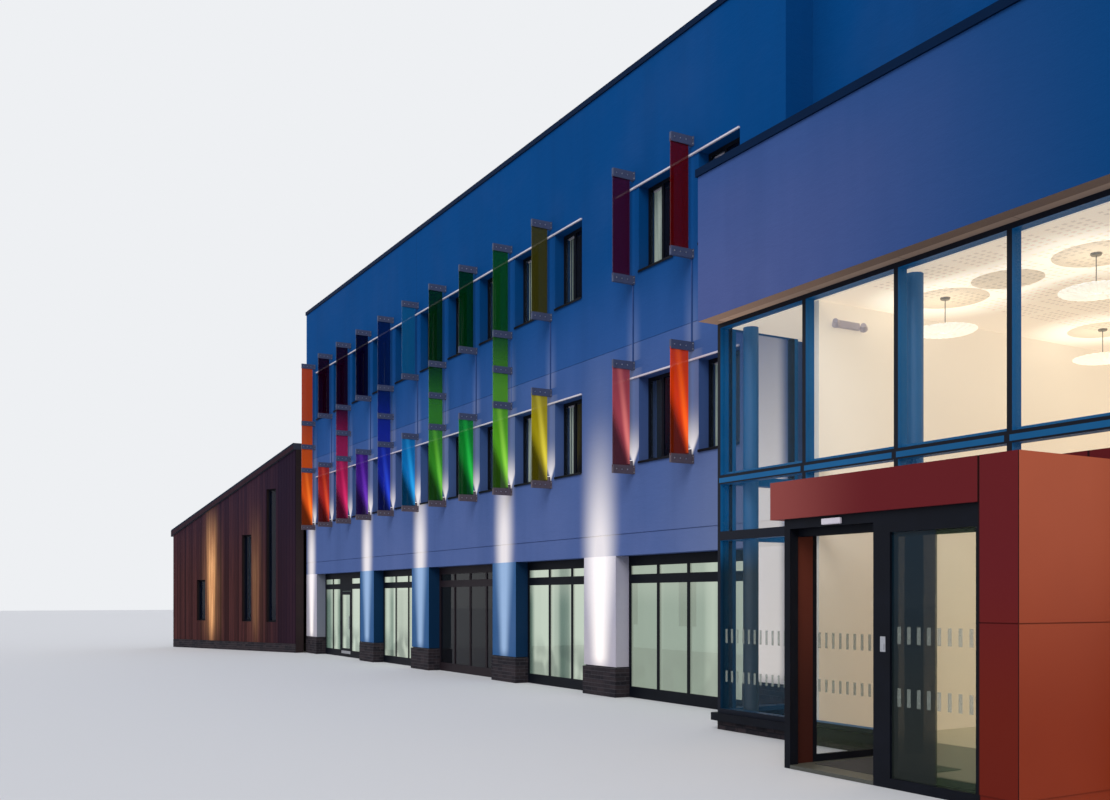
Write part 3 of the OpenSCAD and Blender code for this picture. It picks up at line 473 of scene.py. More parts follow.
brick_finish = Finish("dark_brick", 0.8, 0.15)
x, y, z = brick_finish.places()
course = whole(z / 0.075)
one_brick = brick_finish.chance(whole((x + y) / 0.225) * 7.3 + course * 3.7)
brick_tone = mix(one_brick, (22, 22, 30), (54, 46, 50))
brick_grain = brick_finish.noise(60, 5, 0.7)
brick_finish.feed(
    Base_Color=mix(brick_grain * 0.5, brick_tone, (36, 32, 38)),
    Normal=relief(brick_grain, 0.003, 0.7))


def lay_bricks(moves, name):
    """Makes one brick, lays a copy at each place and fixes them to the building."""
    brick = block((0, -brick_proud, 0), (brick_l, brick_back, brick_h), 0.003)
    mount(repeated(brick, moves), name, brick_finish)


pier_lefts = [0.0, 5.42, 9.48, 14.34, 18.40, 23.30]
pier_w, last_pier_right = 1.15, 24.40
plinth_out, plinth_h, plinth_side = 0.02, 0.55, 0.32
pier_moves = []
for i, left in enumerate(pier_lefts):
    low = left if i == 0 else left - plinth_out
    high = last_pier_right if i == 5 else left + pier_w + plinth_out
    pier_moves += brick_face(place(low, -plinth_out, 0), 0, high - low, plinth_h)
    if i < 5:
        pier_moves += brick_face(place(high, -plinth_out, 0), quarter_turn, plinth_side, plinth_h)
    if i > 0:
        pier_moves += brick_face(place(low, plinth_side - plinth_out, 0), -quarter_turn,
                                 plinth_side, plinth_h)
lay_bricks(pier_moves, "pier_bricks")

wing_angle = math.radians(22)
wing_corner = place(0, -0.375, 0)
wing_along = Vector((-math.cos(wing_angle), -math.sin(wing_angle), 0))
wing_out = Vector((math.sin(wing_angle), -math.cos(wing_angle), 0))
wing_front = 7.36
wing_end = wing_corner + wing_along * wing_front
lay_bricks(brick_face(wing_end + wing_out * 0.02, wing_angle, wing_front, 0.30), "wing_bricks")

# Floors, roofs and ceilings: trowelled screed on the ground floor, plastered slabs, and a grey
# welded membrane over the roof deck and the hall roof.
def fract(value):
    """What a value has past its whole number."""
    return value.finish.sum("FRACT", value)


floor_finish = Finish("screed", 0.45)
x, y, z = floor_finish.places()
floor_cloud = floor_finish.noise(0.8, 4)
tile_seams = (fract(x / 0.6) < 0.012) + (fract(y / 0.6) < 0.012)
hall_floor = (x > hall_left) * (y > -0.1)
screed = mix(floor_cloud, (66, 68, 62), (88, 88, 80))
screed = mix(hall_floor, screed, (206, 200, 178))
floor_finish.feed(Base_Color=mix(tile_seams * 0.4, screed, (44, 46, 44)))
coat(floor_finish, "ground_floor")

slab_finish = Finish("plastered_slab", 0.85, Emission_Strength=0.5)
x, y, z = slab_finish.places()
slab_grain = slab_finish.noise(12, 4)
under = slab_finish.facing()[2] < -0.5
# The ceilings of the ground-floor rooms glow with painted light.
slab_finish.feed(
    Base_Color=mix(slab_grain * 0.4, (196, 198, 196), (160, 163, 166)),
    Emission_Color=mix(under * (z < 3.6) * (x < hall_left), black, (176, 196, 184)))
coat(slab_finish, "upper_floors")

membrane_finish = Finish("roof_membrane", 0.75)
x, y, z = membrane_finish.places()
membrane_cloud = membrane_finish.noise(0.6, 5)
lap = fract(y / 1.05)
membrane_finish.feed(
    Base_Color=mix((lap < 0.04) * 0.5, mix(membrane_cloud, (94, 97, 103), (124, 126, 130)),
                   (62, 64, 70)),
    Normal=relief(lap < 0.05, 0.004, 0.8))
coat(membrane_finish, "roof_deck")

soffit_finish = Finish("soffit_board", 0.8, Emission_Strength=0.5)
x, y, z = soffit_finish.places()
top_side = soffit_finish.facing()[2] > 0.5
board_joint = fract(x / 1.55) < 0.005
# The underside glows with painted light, brightest at the left end and fading to the right.
soffit_finish.feed(
    Base_Color=mix(top_side, mix(board_joint, (150, 130, 116), (70, 60, 56)), (100, 102, 108)),
    Emission_Color=mix(soffit_finish.facing()[2] < -0.5, black,
                       mix(rise(x, 24.3, 27.0), (166, 130, 106), (74, 60, 52))),
    Normal=relief(soffit_finish.noise(40, 3), 0.002, 0.4))
coat(soffit_finish, "hall_roof")

# Copings: folded sheet metal in 2.5 m lengths, powder-coated dark blue-grey, with a butt strap
# over every joint.
coping_finish = Finish("coated_sheet", 0.6, 0.04)
sheet_wave = coping_finish.noise(1.8, 2)
coping_finish.feed(
    Base_Color=mix(sheet_wave, (0, 20, 48), (2, 30, 62)),
    Normal=relief(sheet_wave, 0.01, 0.3))
coat(coping_finish, "copings")


def move(x, y, z):
    """A move from the origin to a place on the site."""
    return Matrix.Translation(place(x, y, z))


sheet_l, strap_half, strap_low, strap_top = 2.5, 0.04, 11.64, 11.752
strap = block((-strap_half, -0.002, strap_low), (strap_half, 0.45, strap_top), 0.001)
straps = [repeated(strap, [move(sheet_l * i, -0.03, 0) for i in range(1, 10)])]
strap = block((-strap_half, 11.55, strap_low), (strap_half, 12.032, strap_top), 0.001)
straps.append(repeated(strap, [move(sheet_l * i, 0, 0) for i in range(1, 13)]))
mount(joined(*straps), "coping_straps", coping_finish)

# The fascia's right end: a short rendered wall on the hall roof runs back to the set-back wall,
# under a coping of the same sheet metal as the fascia's own.
fascia_top, coping_depth, right_end_x, set_back_y = 8.03, 0.11, 31.0, 0.95
return_wall = block(place(right_end_x - 0.20, 0.0, 5.852),
                    place(right_end_x + 0.002, set_back_y, fascia_top - coping_depth))
mount(return_wall, "fascia_return", fascia_finish)
return_cap = block(place(right_end_x - 0.23, 0.0, fascia_top - coping_depth),
                   place(right_end_x + 0.03, set_back_y, fascia_top), 0.002)
mount(return_cap, "fascia_return_coping", coping_finish)

# Windows of the upper storeys: dark powder-coated aluminium with a fixed light and a wider sash,
# clear double glazing, a folded sill, and pale vertical blinds drawn over the narrow left light.
frame_finish = Finish("coated_aluminium", 0.55, 0.1)
frame_grain = frame_finish.noise(300, 2)
frame_finish.feed(
    Base_Color=mix(frame_finish.noise(3, 2), (7, 9, 16), (15, 19, 30)),
    Normal=relief(frame_grain, 0.0004, 0.4))
coat(frame_finish, "window_frames")

trim_finish = Finish("white_trim", 0.45)
# The trim's faint even glow is painted light.
trim_finish.feed(
    Base_Color=mix(trim_finish.noise(2, 4), (184, 178, 190), (214, 208, 216)),
    Emission_Color=(60, 56, 66), Emission_Strength=0.6)
coat(trim_finish, "drip_trims")

glass_finish = Finish("window_glazing", 0.05, 0.18)
x, y, z = glass_finish.places()
off = x - bay_first - (x > right_bays) * (bay_right - bay_first)
across = glass_finish.sum("WRAP", off, bay_pitch, 0.0)
left_light = (across < 0.64) * (y < 1.0)
# The sash's glass is near opaque and dark, painted shade for the unlit room behind; the narrow left
# light is paler and more clear.
glass_finish.feed(
    Base_Color=mix(left_light, (8, 14, 28), (60, 74, 92)), Alpha=0.90 - left_light * 0.76,
    Normal=relief(glass_finish.noise(0.9, 2), 0.004, 0.25))
coat(glass_finish, "window_glass")

window_w, window_h, fin_to_window = 1.08, 1.55, 0.18
first_sill, second_sill = 4.39, 7.89
sill_plate = block((0, -0.028, -0.004), (window_w, 0.21, 0.012), 0.003)
sill_lip = block((0, -0.030, -0.034), (window_w, -0.020, 0.010), 0.002)
front_moves = [move(x + fin_to_window, 0, sill)
               for x in bay_xs for sill in (first_sill, second_sill)]
mount(repeated(joined(sill_plate, sill_lip), front_moves), "window_sills", frame_finish)

blind_finish = Finish("blind_fabric", 0.9)
x, y, z = blind_finish.places()
weave = blind_finish.noise(400, 2, 0.5, (1, 1, 0.2))
fold_shade = blind_finish.noise(9, 2, 0.5, (1, 1, 0.05))
# The blinds are painted lighter and darker in upright bands as the shade of their folds, and glow
# faintly with painted light from the room.
blind_finish.feed(
    Base_Color=mix(rise(fold_shade, 0.3, 0.7), (126, 140, 136), (196, 206, 192)),
    Normal=relief(weave, 0.0006, 0.5),
    Emission_Color=(104, 116, 106), Emission_Strength=0.5)


def blind_slat(width, height):
    """One curved vertical slat, from a plane that is split and bowed."""
    bpy.ops.object.select_all(action="DESELECT")
    bpy.ops.mesh.primitive_grid_add(x_subdivisions=5, y_subdivisions=1, size=1)
    slat = bpy.context.object
    slat.scale = (width, height, 1)
    slat.rotation_euler = (quarter_turn, 0, 0)
    bpy.ops.object.transform_apply(location=True, rotation=True, scale=True)
    for vertex in slat.data.vertices:
        vertex.co.y = 0.010 * math.cos(vertex.co.x / width * math.pi)
        vertex.co.z += height / 2
    solidify = slat.modifiers.new("cloth", "SOLIDIFY")
    solidify.thickness = 0.0012
    bpy.ops.object.modifier_apply(modifier="cloth")
    return slat


slat_w, slat_h, slat_pitch = 0.089, 1.40, 0.088
slat_moves = []
blind_places = [(x, sill) for x in bay_xs for sill in (first_sill, second_sill)
                if (x, sill) != (bay_right, first_sill)]
for x, sill in blind_places:
    turn = random.uniform(-35, 10)
    for i in range(4):
        slat_x = x + fin_to_window + 0.10 + slat_pitch * i
        slat_moves.append(move(slat_x, 0.315, sill + 0.08)
                          @ Matrix.Rotation(math.radians(turn + random.uniform(-4, 4)), 4, "Z"))
mount(repeated(blind_slat(slat_w, slat_h), slat_moves), "front_blinds", blind_finish)
rail_low = Vector((fin_to_window + 0.05, 0.295, window_h - 0.075))
head_rail = block(rail_low, rail_low + Vector((0.98, 0.045, 0.030)), 0.004)
mount(repeated(head_rail, [move(x, 0, sill) for x, sill in blind_places]), "blind_rails",
      trim_finish)

# Ground floor glazing: dark aluminium framing on a low kerb with top lights, clear glass with the
# greenish light of the rooms behind painted on it as a glow, bronze-brown frames with no light in
# the third opening, and one hinged door.
third_left, third_right = 10.5, 14.45
ground_frame_finish = Finish("ground_frame_coat", 0.55, 0.1)
x, y, z = ground_frame_finish.places()
third = (x > third_left) * (x < third_right)
ground_frame_finish.feed(
    Base_Color=mix(third, mix(ground_frame_finish.noise(3, 2), (6, 9, 16), (14, 18, 28)),
                   (34, 27, 32)))
coat(ground_frame_finish, "ground_frames", "side_door_frame")

ground_glass_finish = Finish("ground_glazing", 0.04, 0.15)
x, y, z = ground_glass_finish.places()
third = (x > third_left) * (x < third_right)
room_depth = ground_glass_finish.noise(1.6, 1, 0.4, (1, 1, 0.02))
room_things = ground_glass_finish.noise(2.2, 1, 0.4, (1, 1, 0.7))
lit_pane = mix(rise(room_depth, 0.40, 0.60), (92, 114, 102), (214, 226, 208))
low_half = (1 - rise(z, 0.5, 1.2)) * rise(room_things, 0.40, 0.56)
lit_pane = mix(low_half * 0.45, lit_pane, (60, 74, 72))
lit_pane = mix(rise(z, 1.7, 2.2) * 0.25, lit_pane, (226, 232, 214))
lit_pane = mix((x > right_bays) * 0.45, lit_pane, (214, 224, 204))
ground_glass_finish.feed(
    Base_Color=mix(third, (40, 52, 50), (12, 12, 18)),
    Emission_Color=mix(third, lit_pane, (4, 4, 6)), Emission_Strength=0.95,
    Alpha=0.46 + third * 0.40)
coat(ground_glass_finish, "ground_glass", "side_door_glass")

bar_finish = Finish("brushed_steel", 0.3, Metallic=0.9)
bar_finish.feed(Base_Color=mix(bar_finish.noise(200, 2, 0.5, (1, 1, 0.05)), (150, 152, 158),
                               (196, 198, 204)))
on_side = (quarter_turn, 0, 0)


def cylinder(sides, radius, length, spot=(0, 0, 0), turn=(0, 0, 0)):
    """A cylinder centred on a spot, upright unless it is turned."""
    bpy.ops.object.select_all(action="DESELECT")
    bpy.ops.mesh.primitive_cylinder_add(vertices=sides, radius=radius, depth=length,
                                        location=spot, rotation=turn)
    bpy.ops.object.transform_apply(location=True, rotation=True, scale=True)
    return bpy.context.object


leaf_low, leaf_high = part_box("side_door_frame")
pull_x = leaf_high.x - 0.055
pull = cylinder(20, 0.014, 0.42, (pull_x, leaf_low.y - 0.020, 1.10))
feet = [cylinder(16, 0.009, 0.04, (pull_x, leaf_low.y + 0.002, foot_z), on_side)
        for foot_z in (0.94, 1.26)]
pull = joined(*feet, pull)
bevel = pull.modifiers.new("ends", "BEVEL")
bevel.width = 0.003
bevel.segments = 2
bevel.angle_limit = math.radians(50)
bpy.ops.object.modifier_apply(modifier="ends")
mount(pull, "side_door_pull", bar_finish, "side_door")
leaf_face = leaf_high.y - 0.060
kick_plate = block((leaf_high.x - 0.91, leaf_face - 0.0015, 0.10),
                   (leaf_high.x - 0.05, leaf_face + 0.001, 0.19), 0.0005)
mount(kick_plate, "side_door_kick_plate", bar_finish, "side_door")

# Coloured glass fins: 20 mm laminated panes clamped in the slots of painted steel channels, which
# are welded to wall plates held by four bolts each. A small lamp shines up each fin from its foot.
steel_finish = Finish("painted_steel", 0.55, 0.3)
steel_cloud = steel_finish.noise(8, 3)
x, y, z = steel_finish.places()
# The brackets and lamp housings are painted warm grey low down, where the fin lamps light them, and
# dusk blue higher up.
lit_steel_tone = mix(rise(z, 4.5, 6.0), (94, 82, 92), (70, 80, 112))
steel_finish.feed(
    Base_Color=mix(steel_cloud * 0.5, lit_steel_tone, (58, 60, 76)),
    Normal=relief(steel_finish.noise(150, 3), 0.0006, 0.5))
coat(steel_finish, "fin_brackets", "fin_uplights")

bracket_h, fin_glass_h = 0.155, 1.765
foot_zs = (4.18, 7.68)
top_zs = [foot_z + bracket_h + fin_glass_h for foot_z in foot_zs]
mid_z = (foot_zs[0] + 2 * bracket_h + fin_glass_h + foot_zs[1]) / 2 - bracket_h / 2
bracket_places = []
for i, x in enumerate(bay_xs):
    heights = [foot_zs[0], top_zs[0], foot_zs[1], top_zs[1]]
    if i < 10 and i % 2 == 0:
        heights.append(mid_z)
    bracket_places += [(x, height) for height in heights]


def bolt(radius, length, sides):
    """A bolt head on a washer, seen along y."""
    washer = cylinder(16, radius * 1.45, 0.002, (0, -0.001, 0), on_side)
    head = cylinder(sides, radius, length, (0, -0.002 - length / 2, 0), on_side)
    soften(radius * 0.15)
    return joined(washer, head)


plate_moves = [move(x + side * 0.0415, -0.014, height + up)
               for x, height in bracket_places for side in (-1, 1) for up in (0.032, 0.123)]
mount(repeated(bolt(0.008, 0.008, 6), plate_moves), "plate_bolts", bar_finish)
clamp_moves = [move(x + side * 0.028, away, height + bracket_h / 2)
               @ Matrix.Rotation(quarter_turn * side, 4, "Z")
               for x, height in bracket_places for side in (-1, 1)
               for away in (-0.15, -0.27, -0.39)]
mount(repeated(bolt(0.009, 0.005, 12), clamp_moves), "clamp_screws", bar_finish)

duct_finish = Finish("duct_paint", 0.7, 0.1)
duct_finish.feed(Base_Color=mix(duct_finish.noise(6, 3), (36, 64, 118), (60, 86, 140)))
duct_low, duct_high = top_zs[0] + bracket_h, foot_zs[1]
ducts = [block(place(x - 0.010, -0.024, duct_low), place(x + 0.010, -0.001, duct_high), 0.004)
         for i, x in enumerate(bay_xs) if i % 2 or i > 9]
mount(joined(*ducts), "cable_ducts", duct_finish)

lens_finish = Finish("lamp_lens", 0.2)
lens_finish.feed(
    Base_Color=(255, 250, 240),
    Emission_Color=mix(lens_finish.noise(40, 2), (255, 244, 226), (255, 255, 252)),
    Emission_Strength=1.4)
lens_t = 0.006
lens = cylinder(24, 0.027, lens_t)
soften(0.002, 2)
lens_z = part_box("fin_uplights")[1].z + lens_t / 2
mount(repeated(lens, [move(x, -0.052, lens_z) for x in bay_xs]), "uplight_lenses", lens_finish)

# For each fin: its deep tint, the bright colour painted where its lamp's light falls, and the dim
# colour painted as dusk shade on the upper row.
fin_paints = {
    1: ((214, 80, 22), (255, 140, 50), (178, 66, 34)),
    2: ((158, 34, 30), (236, 90, 50), (24, 0, 14)),
    3: ((158, 26, 76), (226, 50, 110), (22, 0, 18)),
    4: ((62, 22, 124), (124, 60, 200), (6, 0, 26)),
    5: ((22, 34, 148), (50, 84, 224), (4, 24, 78)),
    6: ((10, 108, 178), (50, 176, 236), (16, 88, 140)),
    7: ((44, 128, 32), (124, 206, 66), (4, 40, 14)),
    8: ((14, 124, 40), (46, 206, 80), (0, 44, 14)),
    9: ((80, 158, 30), (166, 226, 80), (10, 72, 26)),
    10: ((160, 146, 16), (236, 220, 80), (62, 60, 16)),
    11: ((158, 62, 74), (236, 140, 130), (56, 8, 38)),
    12: ((214, 54, 8), (255, 116, 20), (84, 4, 6))}


def dimmed(tone, share):
    """A screen colour with each of its parts cut down to a share."""
    return [int(share * part) for part in tone]


for i, (deep, bright, dim) in fin_paints.items():
    fin_finish = Finish(f"fin_glass_{i}_tint", 0.08, 0.15)
    x, y, z = fin_finish.places()
    out = -0.05 - y
    up = z - 4.36
    reach = 0.05 + up * 0.42
    beam = rise(reach - out, -0.09, 0.19) * (1 - 0.75 * rise(up, 0.25, 1.8))
    beam = beam * (up > 0) * (z < 6.2)
    streak = rise(0.10 - abs(out - 0.03 - up * 0.13), 0.0, 0.10) * beam
    dusk = rise(z, 6.3, 8.0)
    shade = (1 - beam) * (z < 6.2) * (1 - rise(up, 0.6, 1.5) * 0.6)
    tint = mix(fin_finish.noise(1.4, 2, 0.5) * 0.15, deep, bright)
    tint = mix(shade * 0.92, tint, dimmed(deep, 0.42))
    fin_finish.feed(Base_Color=mix(dusk, tint, dim))
    glow = mix(beam, dimmed(deep, 0.16), dimmed(deep, 0.92))
    glow = mix(streak * 0.8, glow, bright)
    fin_finish.feed(
        Emission_Color=mix(dusk, glow, dimmed(dim, 0.3)), Emission_Strength=0.8,
        Alpha=0.80 if i > 1 else 0.92)
    coat(fin_finish, f"fin_glass_{i}")

# The entrance hall's glass front: aluminium mullions and transoms, near black on the face and blue
# on the sides, where painted light from the hall glows, on a brick base with a dark sill, in front
# of a lit double-height hall.
hall_frame_finish = Finish("curtain_wall_coat", 0.5, 0.15, Emission_Strength=0.35)
x, y, z = hall_frame_finish.places()
mullion_xs, mullion_half = (24.40, 26.16, 27.717, 29.274, 30.875), 0.034
on_mullion = 0.0
for mullion_x in mullion_xs:
    on_mullion = (abs(x - mullion_x) < mullion_half) + on_mullion
high_sill = (z > 3.552) * (z < 3.62) * (1 - on_mullion)
face = (abs(hall_frame_finish.facing()[1]) > 0.5) * (1 - high_sill)
hall_blues, blue_light = ((6, 74, 120), (24, 92, 138)), (0, 60, 104)
hall_blue = mix(hall_frame_finish.noise(2, 2), *hall_blues)
# The lower part on the left is painted dark, as shade.
shaded_foot = (1 - rise(z, 2.2, 2.7)) * (x < 26.0) * 0.8
hall_blue = mix(shaded_foot, hall_blue, (12, 22, 30))
hall_frame_finish.feed(
    Base_Color=mix(face, hall_blue, (10, 16, 30)),
    Emission_Color=mix(hall_frame_finish.sum("MAXIMUM", face, shaded_foot), blue_light, black))
coat(hall_frame_finish, "hall_frame")
rail_finish = Finish("inner_rail_coat", 0.5, 0.15, Emission_Strength=0.35)
# The inner rails glow blue with painted light from the hall.
rail_finish.feed(Base_Color=mix(rail_finish.noise(2, 2), *hall_blues), Emission_Color=blue_light)
rails = [block(place(low_x + mullion_half, -1.335, 3.597),
               place(high_x - mullion_half, -1.256, 3.70), 0.005)
         for low_x, high_x in zip(mullion_xs, mullion_xs[1:])]
mount(joined(*rails), "hall_inner_rails", rail_finish)

hall_glass_finish = Finish("hall_glazing", 0.03, 0.15)
x, y, z = hall_glass_finish.places()
corner_pane = x < 24.6
# The corner pane is painted with a reflection of the dusk sky, blue above and dark lower down, and
# is less clear.
hall_glass_finish.feed(
    Base_Color=mix(corner_pane,
                   mix(hall_glass_finish.noise(0.5, 2), (60, 100, 130), (80, 116, 140)),
                   mix(rise(z, 2.4, 3.2), (20, 50, 60), (22, 92, 150))),
    Alpha=0.07 + corner_pane * 0.09)
coat(hall_glass_finish, "hall_glass")

door_glass_finish = Finish("door_glazing", 0.03, 0.15)
x, y, z = door_glass_finish.places()
shaded = (x > 29.1) * (x < 29.69) * (y < -2.92)
door_glass_finish.feed(
    Base_Color=mix(shaded, mix(door_glass_finish.noise(0.7, 2), (92, 112, 84), (108, 124, 94)),
                   mix(rise(z, 0.4, 2.4), (34, 40, 38), (14, 34, 46))), Alpha=0.12 + shaded * 0.69)
coat(door_glass_finish, "entrance_glass", "sliding_leaf_glass")
coat(frame_finish, "hall_base", "entrance_frame", "sliding_leaf")
base_left, base_right, base_h = 24.40, 27.60, 0.13
base_moves = brick_face(place(base_left, -1.40, 0), 0, base_right - base_left, base_h)
base_moves += brick_face(place(base_left, -0.02, 0), -quarter_turn, 1.38, base_h)
lay_bricks(base_moves, "hall_base_bricks")

ceiling_finish = Finish("perforated_ceiling", 0.85)
x, y, z = ceiling_finish.places()
in_tile_x, in_tile_y = fract(x / 0.6), fract(y / 0.6)
holes = ((fract(x / 0.10) < 0.5) * (fract(y / 0.10) < 0.5) * (in_tile_x > 0.16)
         * (in_tile_y > 0.16) * (x > 27.0))
# The ceiling glows with painted light: a bright halo round each pendant lamp, and in its middle a
# darker disc of the lamp's painted shadow, with one more halo and shadow disc where no lamp hangs.
halo, shadow_disc = 0.0, 0.0
lamp_xs, lamp_ys = (27.20, 29.30), (0.09, 3.39, 6.69, 9.99)
for lamp_x in lamp_xs:
    for lamp_y in lamp_ys:
        away = ceiling_finish.sum("SQRT", (x - lamp_x) ** 2 + (y - lamp_y - 0.06) ** 2)
        halo = 1 - rise(away, 0.50, 1.25) + halo
        shadow_disc = (away < 0.50) + shadow_disc
extra = ceiling_finish.sum("SQRT", (x - 28.14) ** 2 + (y - 0.09) ** 2)
halo = (1 - rise(extra, 0.42, 0.95)) * 0.8 + halo
shadow_disc = capped((extra < 0.42) + shadow_disc)
halo = capped(halo) * (1 - shadow_disc)
ceiling_tone = mix(halo, (196, 182, 164), (255, 248, 232))
ceiling_tone = mix(shadow_disc * 0.6, ceiling_tone, (160, 148, 130))
ceiling_finish.feed(
    Base_Color=mix(holes * 0.24, (232, 222, 206), (120, 110, 98)),
    Emission_Color=mix(holes * 0.22, ceiling_tone, (110, 100, 90)), Emission_Strength=0.86,
    Normal=relief(1 - holes, 0.002, 0.6))
coat(ceiling_finish, "hall_ceiling")

plaster_finish = Finish("cream_plaster", 0.9, Emission_Strength=0.68)
x, y, z = plaster_finish.places()
plaster_cloud = plaster_finish.noise(0.5, 3)
lit_side = plaster_finish.facing()[0] > 0.5
# The partition glows with painted light: on its side facing the right, warmer low down and paler
# higher up, and dimmer grey elsewhere.
plaster_finish.feed(
    Base_Color=mix(plaster_cloud, (222, 212, 196), (236, 228, 214)),
    Emission_Color=mix(lit_side, (120, 120, 118),
                       mix(rise(z, 0.5, 5.5), (166, 148, 126), (196, 186, 170))))
coat(plaster_finish, "hall_partition")

column_finish = Finish("column_paint", 0.5, Emission_Strength=0.35)
x, y, z = column_finish.places()
column_blue = mix(column_finish.noise(1.5, 2), (16, 78, 124), (34, 94, 138))
# The columns are painted dark low down as shade, and glow blue higher up with painted light from
# the hall.
column_finish.feed(
    Base_Color=mix(rise(z, 2.2, 2.8), (26, 40, 50), column_blue),
    Emission_Color=mix(rise(z, 2.2, 3.0), (4, 8, 12), (2, 60, 104)),
    Normal=relief(column_finish.noise(30, 3), 0.001, 0.4))
coat(column_finish, "hall_columns")

# Pendant lamps: a lens-shaped bowl of ribbed glass on a thin steel rod from a rose on the ceiling.
# They stand for the CAD discs and rods, in the same places.
lamp_finish = Finish("lamp_glass", 0.3)
ribs = lamp_finish.noise(60, 1, 0.3, (1, 1, 0.1))
lamp_finish.feed(
    Base_Color=mix(ribs, (226, 218, 200), (250, 246, 236)),
    Emission_Color=mix(rise(ribs, 0.35, 0.65), (206, 196, 174), (255, 250, 238)),
    Emission_Strength=1.0)
rod_finish = Finish("lamp_rod_steel", 0.4, Metallic=0.6)
rod_finish.feed(Base_Color=mix(rod_finish.noise(80, 2), (120, 118, 114), (168, 166, 160)))
lamp_z, lamp_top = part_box("pendant_lamps")[0].z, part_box("pendant_lamps")[1].z


def turned(outline, sides):
    """A closed round body from an outline of radius and height, turned about the z axis."""
    bpy.ops.object.select_all(action="DESELECT")
    bpy.ops.mesh.primitive_circle_add(vertices=sides, radius=outline[0][0], fill_type="NGON",
                                      location=(0, 0, outline[0][1]))
    body = bpy.context.object
    bpy.ops.object.transform_apply(location=True, rotation=True, scale=True)
    bpy.ops.object.mode_set(mode="EDIT")
    bpy.ops.mesh.select_all(action="SELECT")
    for (radius, height), (next_radius, next_height) in zip(outline, outline[1:]):
        rise_by = (0, 0, next_height - height)
        bpy.ops.mesh.extrude_region_move(TRANSFORM_OT_translate={"value": rise_by})
        bpy.ops.transform.resize(value=(next_radius / radius, next_radius / radius, 1))
    bpy.ops.mesh.select_all(action="SELECT")
    bpy.ops.mesh.normals_make_consistent(inside=False)
    bpy.ops.object.mode_set(mode="OBJECT")
    return body


bowl = turned(((0.10, -0.030), (0.24, -0.018), (0.345, 0.004), (0.388, 0.022), (0.397, 0.034),
               (0.380, 0.040), (0.20, 0.050), (0.03, 0.056)), 48)
for vertex in bowl.data.vertices:
    around = math.atan2(vertex.co.y, vertex.co.x)
    vertex.co.z += 0.0035 * math.cos(24 * around)
bowl_moves = [move(x, y, lamp_z) for x in lamp_xs for y in lamp_ys]
bowls = mount(repeated(bowl, bowl_moves), "lamp_bowls", lamp_finish)
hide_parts("pendant_lamps")
drop = lamp_top - lamp_z
rod = turned(((0.006, 0.05), (0.006, drop - 0.03), (0.055, drop - 0.026), (0.062, drop - 0.012),
              (0.062, drop)), 24)
rods = mount(repeated(rod, bowl_moves), "lamp_rods", rod_finish)
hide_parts("pendant_lamps")

# Safety light: a slim housing of white plastic with two turned lamp heads, screwed high on the
# hall's left wall.
housing = block((0, 0, 0), (0.05, 0.40, 0.10), 0.012, 2)
heads = []
for head_y in (-0.05, 0.45):
    bpy.ops.object.select_all(action="DESELECT")
    bpy.ops.mesh.primitive_cone_add(vertices=24, radius1=0.055, radius2=0.035, depth=0.09,
                                    location=(0.06, head_y, 0.05),
                                    rotation=(math.radians(70), 0, math.radians(40)))
    bpy.ops.object.transform_apply(location=True, rotation=True, scale=True)
    heads.append(bpy.context.object)
safety_light = joined(*heads, housing)
safety_light.data.transform(move(hall_left + 0.112, -0.965, 5.445))
mount(safety_light, "safety_light", trim_finish)

# Manifestation: upright bars of frosted film, stuck on the hall's glass and on the door screen in
# two rows, which make the clear panes easy to see.
film_finish = Finish("frosted_film", 0.6, Alpha=0.5)
film_finish.feed(Base_Color=mix(film_finish.noise(60, 2), (128, 138, 130), (156, 164, 156)))
film_w, film_pitch = 0.045, 0.123


def film_rows(low_x, high_x, y, rows):
    """Upright bars side by side from one x to the other, one row for each pair of heights."""
    count = int((high_x - low_x) / film_pitch)
    moves = [move(low_x + film_pitch * (i + 0.5), y, 0) for i in range(count)]
    return joined(*[repeated(block((0, -0.001, low_z), (film_w, 0.0, high_z), 0.0004), moves)
                    for low_z, high_z in rows])


hall_rows = ((0.69, 0.85), (1.25, 1.45))
films = [film_rows(24.47, 26.15, -1.36, hall_rows), film_rows(26.23, 27.60, -1.36, hall_rows)]
mount(joined(*films), "hall_film", film_finish)
mount(film_rows(29.16, 30.16, -2.97, ((0.82, 1.00), (1.44, 1.61))), "screen_film", film_finish)

# The portal: satin red cladding panels on a steel frame, painted dark on the front in shade and
# orange-red on the side in light, with shadow joints, over an automatic sliding door.
panel_finish = Finish("red_cladding", 0.5, 0.08)
x, y, z = panel_finish.places()
nx, ny, nz = panel_finish.facing()
sideways = (nx > 0.5) * (x > 29.0)
panel_cloud = panel_finish.noise(0.8, 3)
# All the cladding is one red, and its tones are painted light and shade: the side lit orange-red,
# the front, leg and inner return in shade, the tops darker, and the lower parts darker.
shaded_return_red = mix(rise(z, 0.5, 2.6), (58, 28, 22), (108, 52, 38))
shaded_leg_red = mix(rise(z, 0.6, 2.4), (104, 28, 14), (98, 24, 30))
shaded_front_red = mix(rise(x, 27.4, 29.0), (142, 70, 66), shaded_leg_red)
lit_side_red = mix(rise(z, 0.5, 3.1), (142, 52, 24), (182, 90, 60))
panel_colour = mix(sideways, shaded_front_red, lit_side_red)
panel_colour = mix(nz > 0.5, panel_colour, (60, 26, 30))
inner_return = (nx > 0.5) * (x < 28.0)
panel_colour = mix(inner_return, panel_colour, shaded_return_red)
panel_colour = mix(panel_cloud * 0.25, panel_colour, (90, 30, 30))
leg_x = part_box("portal_side")[1].x - corner.x
shadow_joint = (abs(x - 30.245) < 0.012) + (ny < -0.5) * (x > leg_x - 0.010)
